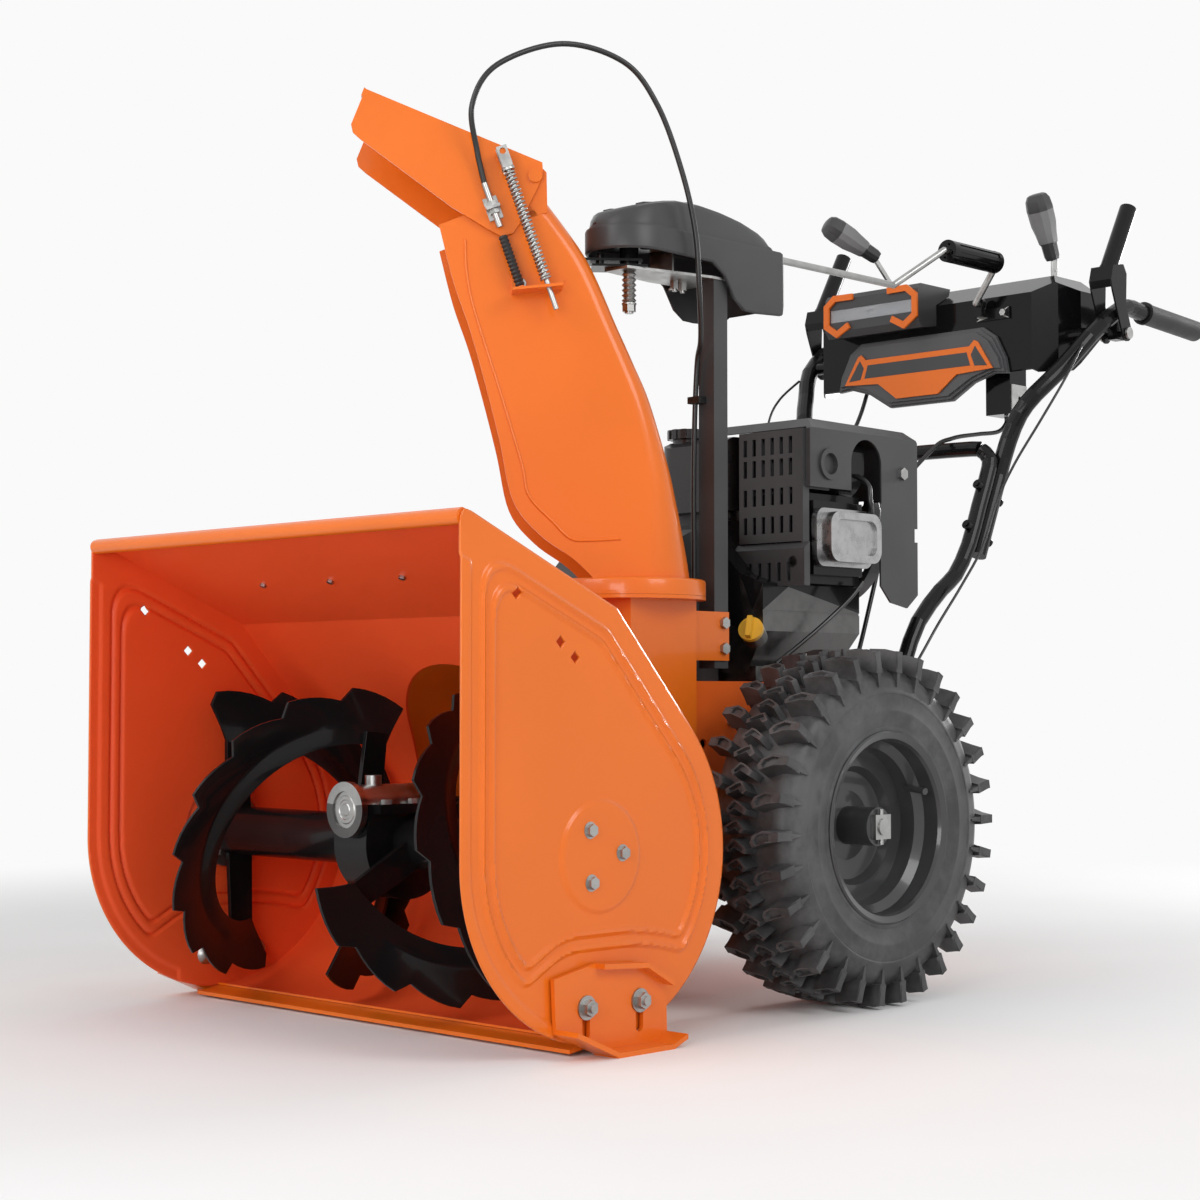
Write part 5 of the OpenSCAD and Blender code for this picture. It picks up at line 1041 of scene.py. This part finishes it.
# %% Hooks and framed plate
TRIM_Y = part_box("shield_trim")[1].y / MM - FRONT / MM
LAMP_Y = 1165 - 43
HOOK_WIDTH, PLATE_T, WINDOW_T = 9, 3, 0.6
hook = [Vector(p) for p in ((-22, 26), (11, 26.5), (25.5, 15), (25.5, -13), (6.5, -26),
                            (-15, -14.5))]
form = Form()
for side in (-1, 1):
    middle = -60 + side * 53
    left, right = stroke(hook, HOOK_WIDTH)
    for i in range(len(hook) - 1):
        corners = [left[i], left[i + 1], right[i + 1], right[i]]
        form.slab([at(middle + side * p.x, LAMP_Y - 4.3, 901 + p.y) for p in corners],
                  Y_WAY * 4 * MM)
frame_out = [(-128, 804), (-104, 843), (-98, 846), (-90, 838), (90, 838), (98, 846), (104, 843),
             (128, 804), (68, 801), (36, 777), (-36, 777), (-68, 801)]
form.slab([at(x, TRIM_Y - PLATE_T, z) for x, z in frame_out], Y_WAY * PLATE_T * MM)
windows = ([(-86, 830), (86, 830), (92, 811), (-92, 811)],
           [(-120, 808.5), (-100, 838), (-93, 826), (-99, 810)],
           [(120, 808.5), (100, 838), (93, 826), (99, 810)])
for window in windows:
    form.slab([at(x, TRIM_Y - 3.4, z) for x, z in window], Y_WAY * WINDOW_T * MM, 1)
form.done("orange_trim", [orange_paint, black_plastic], "chassis", "shield_trim", edge=0.5)

# %% [markdown]
# ## Small details
# Small things make a machine believable: the plug's lead in its rubber boot, the fuel
# hose, a bolt sunk in the guard, the fan housing behind the fins, the screws under the
# housing's top and the cap of the gearcase. All are plain tubes, slabs and turned parts.

# %% Plug lead, hose and sunk bolt
form = Form()
form.tube(smooth_path([(150, 756, 640), (178, 762, 628), (206, 764, 612), (212, 762, 590),
                       (213, 770, 570)]), 3.6 * MM, 12)
form.tube([at(213, 768, 588), at(213.2, 769, 578), at(213.5, 770, 566)],
          [6.5 * MM, 8 * MM, 6 * MM], 20)
form.tube(smooth_path([(200, 762, 492), (196, 740, 470), (184, 706, 440), (170, 676, 414),
                       (156, 650, 392)]), 2.6 * MM, 10)
form.tube(smooth_path([(10, 700, 590), (40, 690, 575), (72, 684, 552), (92, 676, 520),
                       (96, 664, 490)]), 4 * MM, 12)
form.lathe(at(186, 646, 512), Y_WAY, [(15, -1), (15, 0.5), (11, 1.5), (10, 5), (0.1, 5)], 36)
form.tube([at(186, 645, 512), at(186, 651, 512)], 5 * MM, 6, 1)
form.done("engine_leads", [cord_jacket, zinc], "chassis")

# %% Fan housing behind the fins
form = Form()
form.slab([at(x, 700, z) for x, z in ((-70, 545), (-60, 600), (50, 604), (96, 590), (98, 545))],
          Y_WAY * 160 * MM)
form.lathe(at(30, 690, 575), Y_WAY, [(0.1, 0), (16, 0), (18, 3), (18, 12)], 32)
form.done("fan_housing", [black_plastic], "chassis", edge=2)

# %% Screws under the housing's top
form = Form()
SCREW_Y = 120
under = (top_reach - SCREW_Y * math.sin(TOP_SLOPE)) / math.cos(TOP_SLOPE) - SHEET
way = Vector((0, math.sin(TOP_SLOPE), math.cos(TOP_SLOPE)))
for x in (-150, -30, 90, 210):
    seat = at(x, SCREW_Y, under)
    form.tube([seat - way * 4 * MM, seat + way * 1 * MM], 4 * MM, 6)
    form.tube([seat - way * 0.8 * MM, seat + way * 4 * MM], 6 * MM, 20)
form.done("top_screws", [zinc], "chassis", edge=0.3)

# %% Embossed cap in the front of the gearcase
form = Form()
form.lathe(at(0, PLATE_Y - 70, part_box("auger_gearcase")[1].z / MM - 36), Y_WAY,
           [(19.9, 3), (19.9, 1.2), (15.5, 1.2), (14.5, 0.2), (11, 0.2), (10, 1.2), (7, 1.2),
            (6, 0.4), (0.1, 0.4), (0.1, 3)], 48)
form.done("case_cap", [zinc], "chassis")

# %% [markdown]
# ## Second finishes
# Bolts, washers and other small parts are part of a bigger CAD node, but they aren't painted
# with it. The housing's inner faces get a redder orange, which is painted shade. Each test
# below is a region where only such faces lie.

# %% Second finishes
BOLT_END, SHEET_END = 4.6 * MM, 148.4 * MM
PIVOT_X, PIVOT_HALF = 250 * MM, 18 * MM


def around(middle, reach):
    """A test for faces within reach of a point, in millimetres."""
    return lambda centre, normal: (centre - middle).length < reach * MM


bracket_low, bracket_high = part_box("post_bracket")
lever_pivot, case_front = at(0, 1268, 850), at(0, 124, 0)
middle_of_wrap = at(0, PLATE_Y, PLATE_Z + 60)
in_boot = around(chute_at(ROD_X - 14, -138, 832), 34)
second_finish("post_bracket", zinc, lambda c, n: c.x < bracket_low.x + BOLT_END
              or c.x > bracket_high.x - BOLT_END)
second_finish("tractor_frame", zinc, lambda c, n: abs(c.x) > SHEET_END)
second_finish("engine_shroud", zinc, around(at(208, 835, 629), 10))
second_finish("auger_gearcase", cast_alloy, lambda c, n: c.y < case_front.y)
second_finish("auger_gearcase", zinc, lambda c, n: c.z > 237.2 * MM)
second_finish("handles", zinc, lambda c, n: abs(abs(c.x) - PIVOT_X) > PIVOT_HALF
              and (c.yz - lever_pivot.yz).length < 9 * MM)
second_finish("engine_block", black_paint, lambda c, n: c.z > 470 * MM)
for x in (-6, 32):
    second_finish("crank_bracket", zinc, around(at(107 + x, 1158, 881), 7.5))
second_finish("console", zinc,
              lambda c, n: 132.2 * MM < c.x < 134.5 * MM and c.z < 786 * MM)
second_finish("chute_bracket", zinc, around(chute_at(CHUTE_W / 2 + 5, -128, 812), 8))
second_finish("chute_bracket", grip_rubber,
              lambda c, n: in_boot(c, n) and c.z > 826.5 * MM)
# Painted shade: the housing's inner faces take a redder orange for the bounce light inside
second_finish("housing_wrap", inside_paint,
              lambda c, n: n.dot(middle_of_wrap - c) > 0 and c.y > FRONT + 16 * MM)

# %% [markdown]
# ## Studio
# A pale floor, an even sky and four soft lamps. The sky's strength of 1 is what the
# camera, gloss and glass see. For diffuse light it is lower, so the lamps can shape
# the sheet metal. The floor turns into the sky's own white further out, so that no
# horizon shows, and it does so only for the same three kinds of ray.

# %% Sky
bpy.context.scene.view_settings.view_transform = "Standard"
BACKDROP = (0.955, 0.955, 0.955, 1)
SEEN_RAYS = ("Is Camera Ray", "Is Glossy Ray", "Is Transmission Ray")
sky = bpy.data.worlds.new("sky")
bpy.context.scene.world = sky
sky.use_nodes = True
sky_nodes, sky_links = sky.node_tree.nodes, sky.node_tree.links
ray = sky_nodes.new("ShaderNodeLightPath")
seen = ray.outputs[SEEN_RAYS[0]]
for kind in SEEN_RAYS[1:]:
    either = sky_nodes.new("ShaderNodeMath")
    either.operation = "MAXIMUM"
    sky_links.new(seen, either.inputs[0])
    sky_links.new(ray.outputs[kind], either.inputs[1])
    seen = either.outputs[0]
level = sky_nodes.new("ShaderNodeMapRange")
level.inputs["To Min"].default_value = 0.5
level.inputs["To Max"].default_value = 1.0
sky_links.new(seen, level.inputs["Value"])
sky_links.new(level.outputs[0], sky_nodes["Background"].inputs["Strength"])
sky_nodes["Background"].inputs["Color"].default_value = BACKDROP
print("sky has", len(sky_nodes), "nodes")

# %% Floor
FLOOR = 12.0
floor_mesh = bpy.data.meshes.new("floor")
floor_mesh.from_pydata([(-FLOOR, -FLOOR, 0), (FLOOR, -FLOOR, 0), (FLOOR, FLOOR, 0),
                        (-FLOOR, FLOOR, 0)], [], [(0, 1, 2, 3)])
floor = bpy.data.objects.new("floor", floor_mesh)
bpy.context.scene.collection.objects.link(floor)
paper = Finish("paper", Roughness=0.9)
paper_cloud = paper.noise(2.0).span(0.3, 0.7)
paper.show(Base_Color=paper.mix(paper_cloud, (0.88, 0.88, 0.88, 1), (0.9, 0.9, 0.9, 1)))
reach = paper.node("VectorMath", {"operation": "LENGTH"}, {0: paper.place}, "Value")
camera_ray, glossy_ray, glass_ray = [paper.node("LightPath", output=kind)
                                     for kind in SEEN_RAYS]
glow = paper.node("Emission", None, {"Color": BACKDROP})
both = paper.node("MixShader", None, {
    0: reach.span(1.1, 2.3) * (camera_ray + glossy_ray + glass_ray),
    1: Wire(paper, paper.shader.outputs[0]), 2: glow})
paper.tree.links.new(both.socket, paper.tree.nodes["Material Output"].inputs["Surface"])
floor_mesh.materials.append(paper.material)
print("floor is", round(2 * FLOOR), "m wide")


# %% Lamps
def lamp(name, place, target, size, power):
    light = bpy.data.lights.new(name, "AREA")
    light.size = size
    light.energy = power
    stand = bpy.data.objects.new(name, light)
    stand.location = place
    stand.rotation_euler = (Vector(target) - Vector(place)).to_track_quat("-Z", "Y").to_euler()
    bpy.context.scene.collection.objects.link(stand)
    print(name, "lamp of", power, "W")


lamp("key", (-0.6, -3.4, 2.6), (0, -0.2, 0.4), 2.0, 43)
lamp("front", (1.5, -3.2, 0.9), (-0.2, -0.5, 0.35), 1.2, 25)
lamp("side", (3.4, -0.4, 2.4), (0, 0, 0.4), 1.6, 42)
lamp("back", (0.2, 3.0, 1.3), (0, 0.1, 0.6), 0.7, 34)
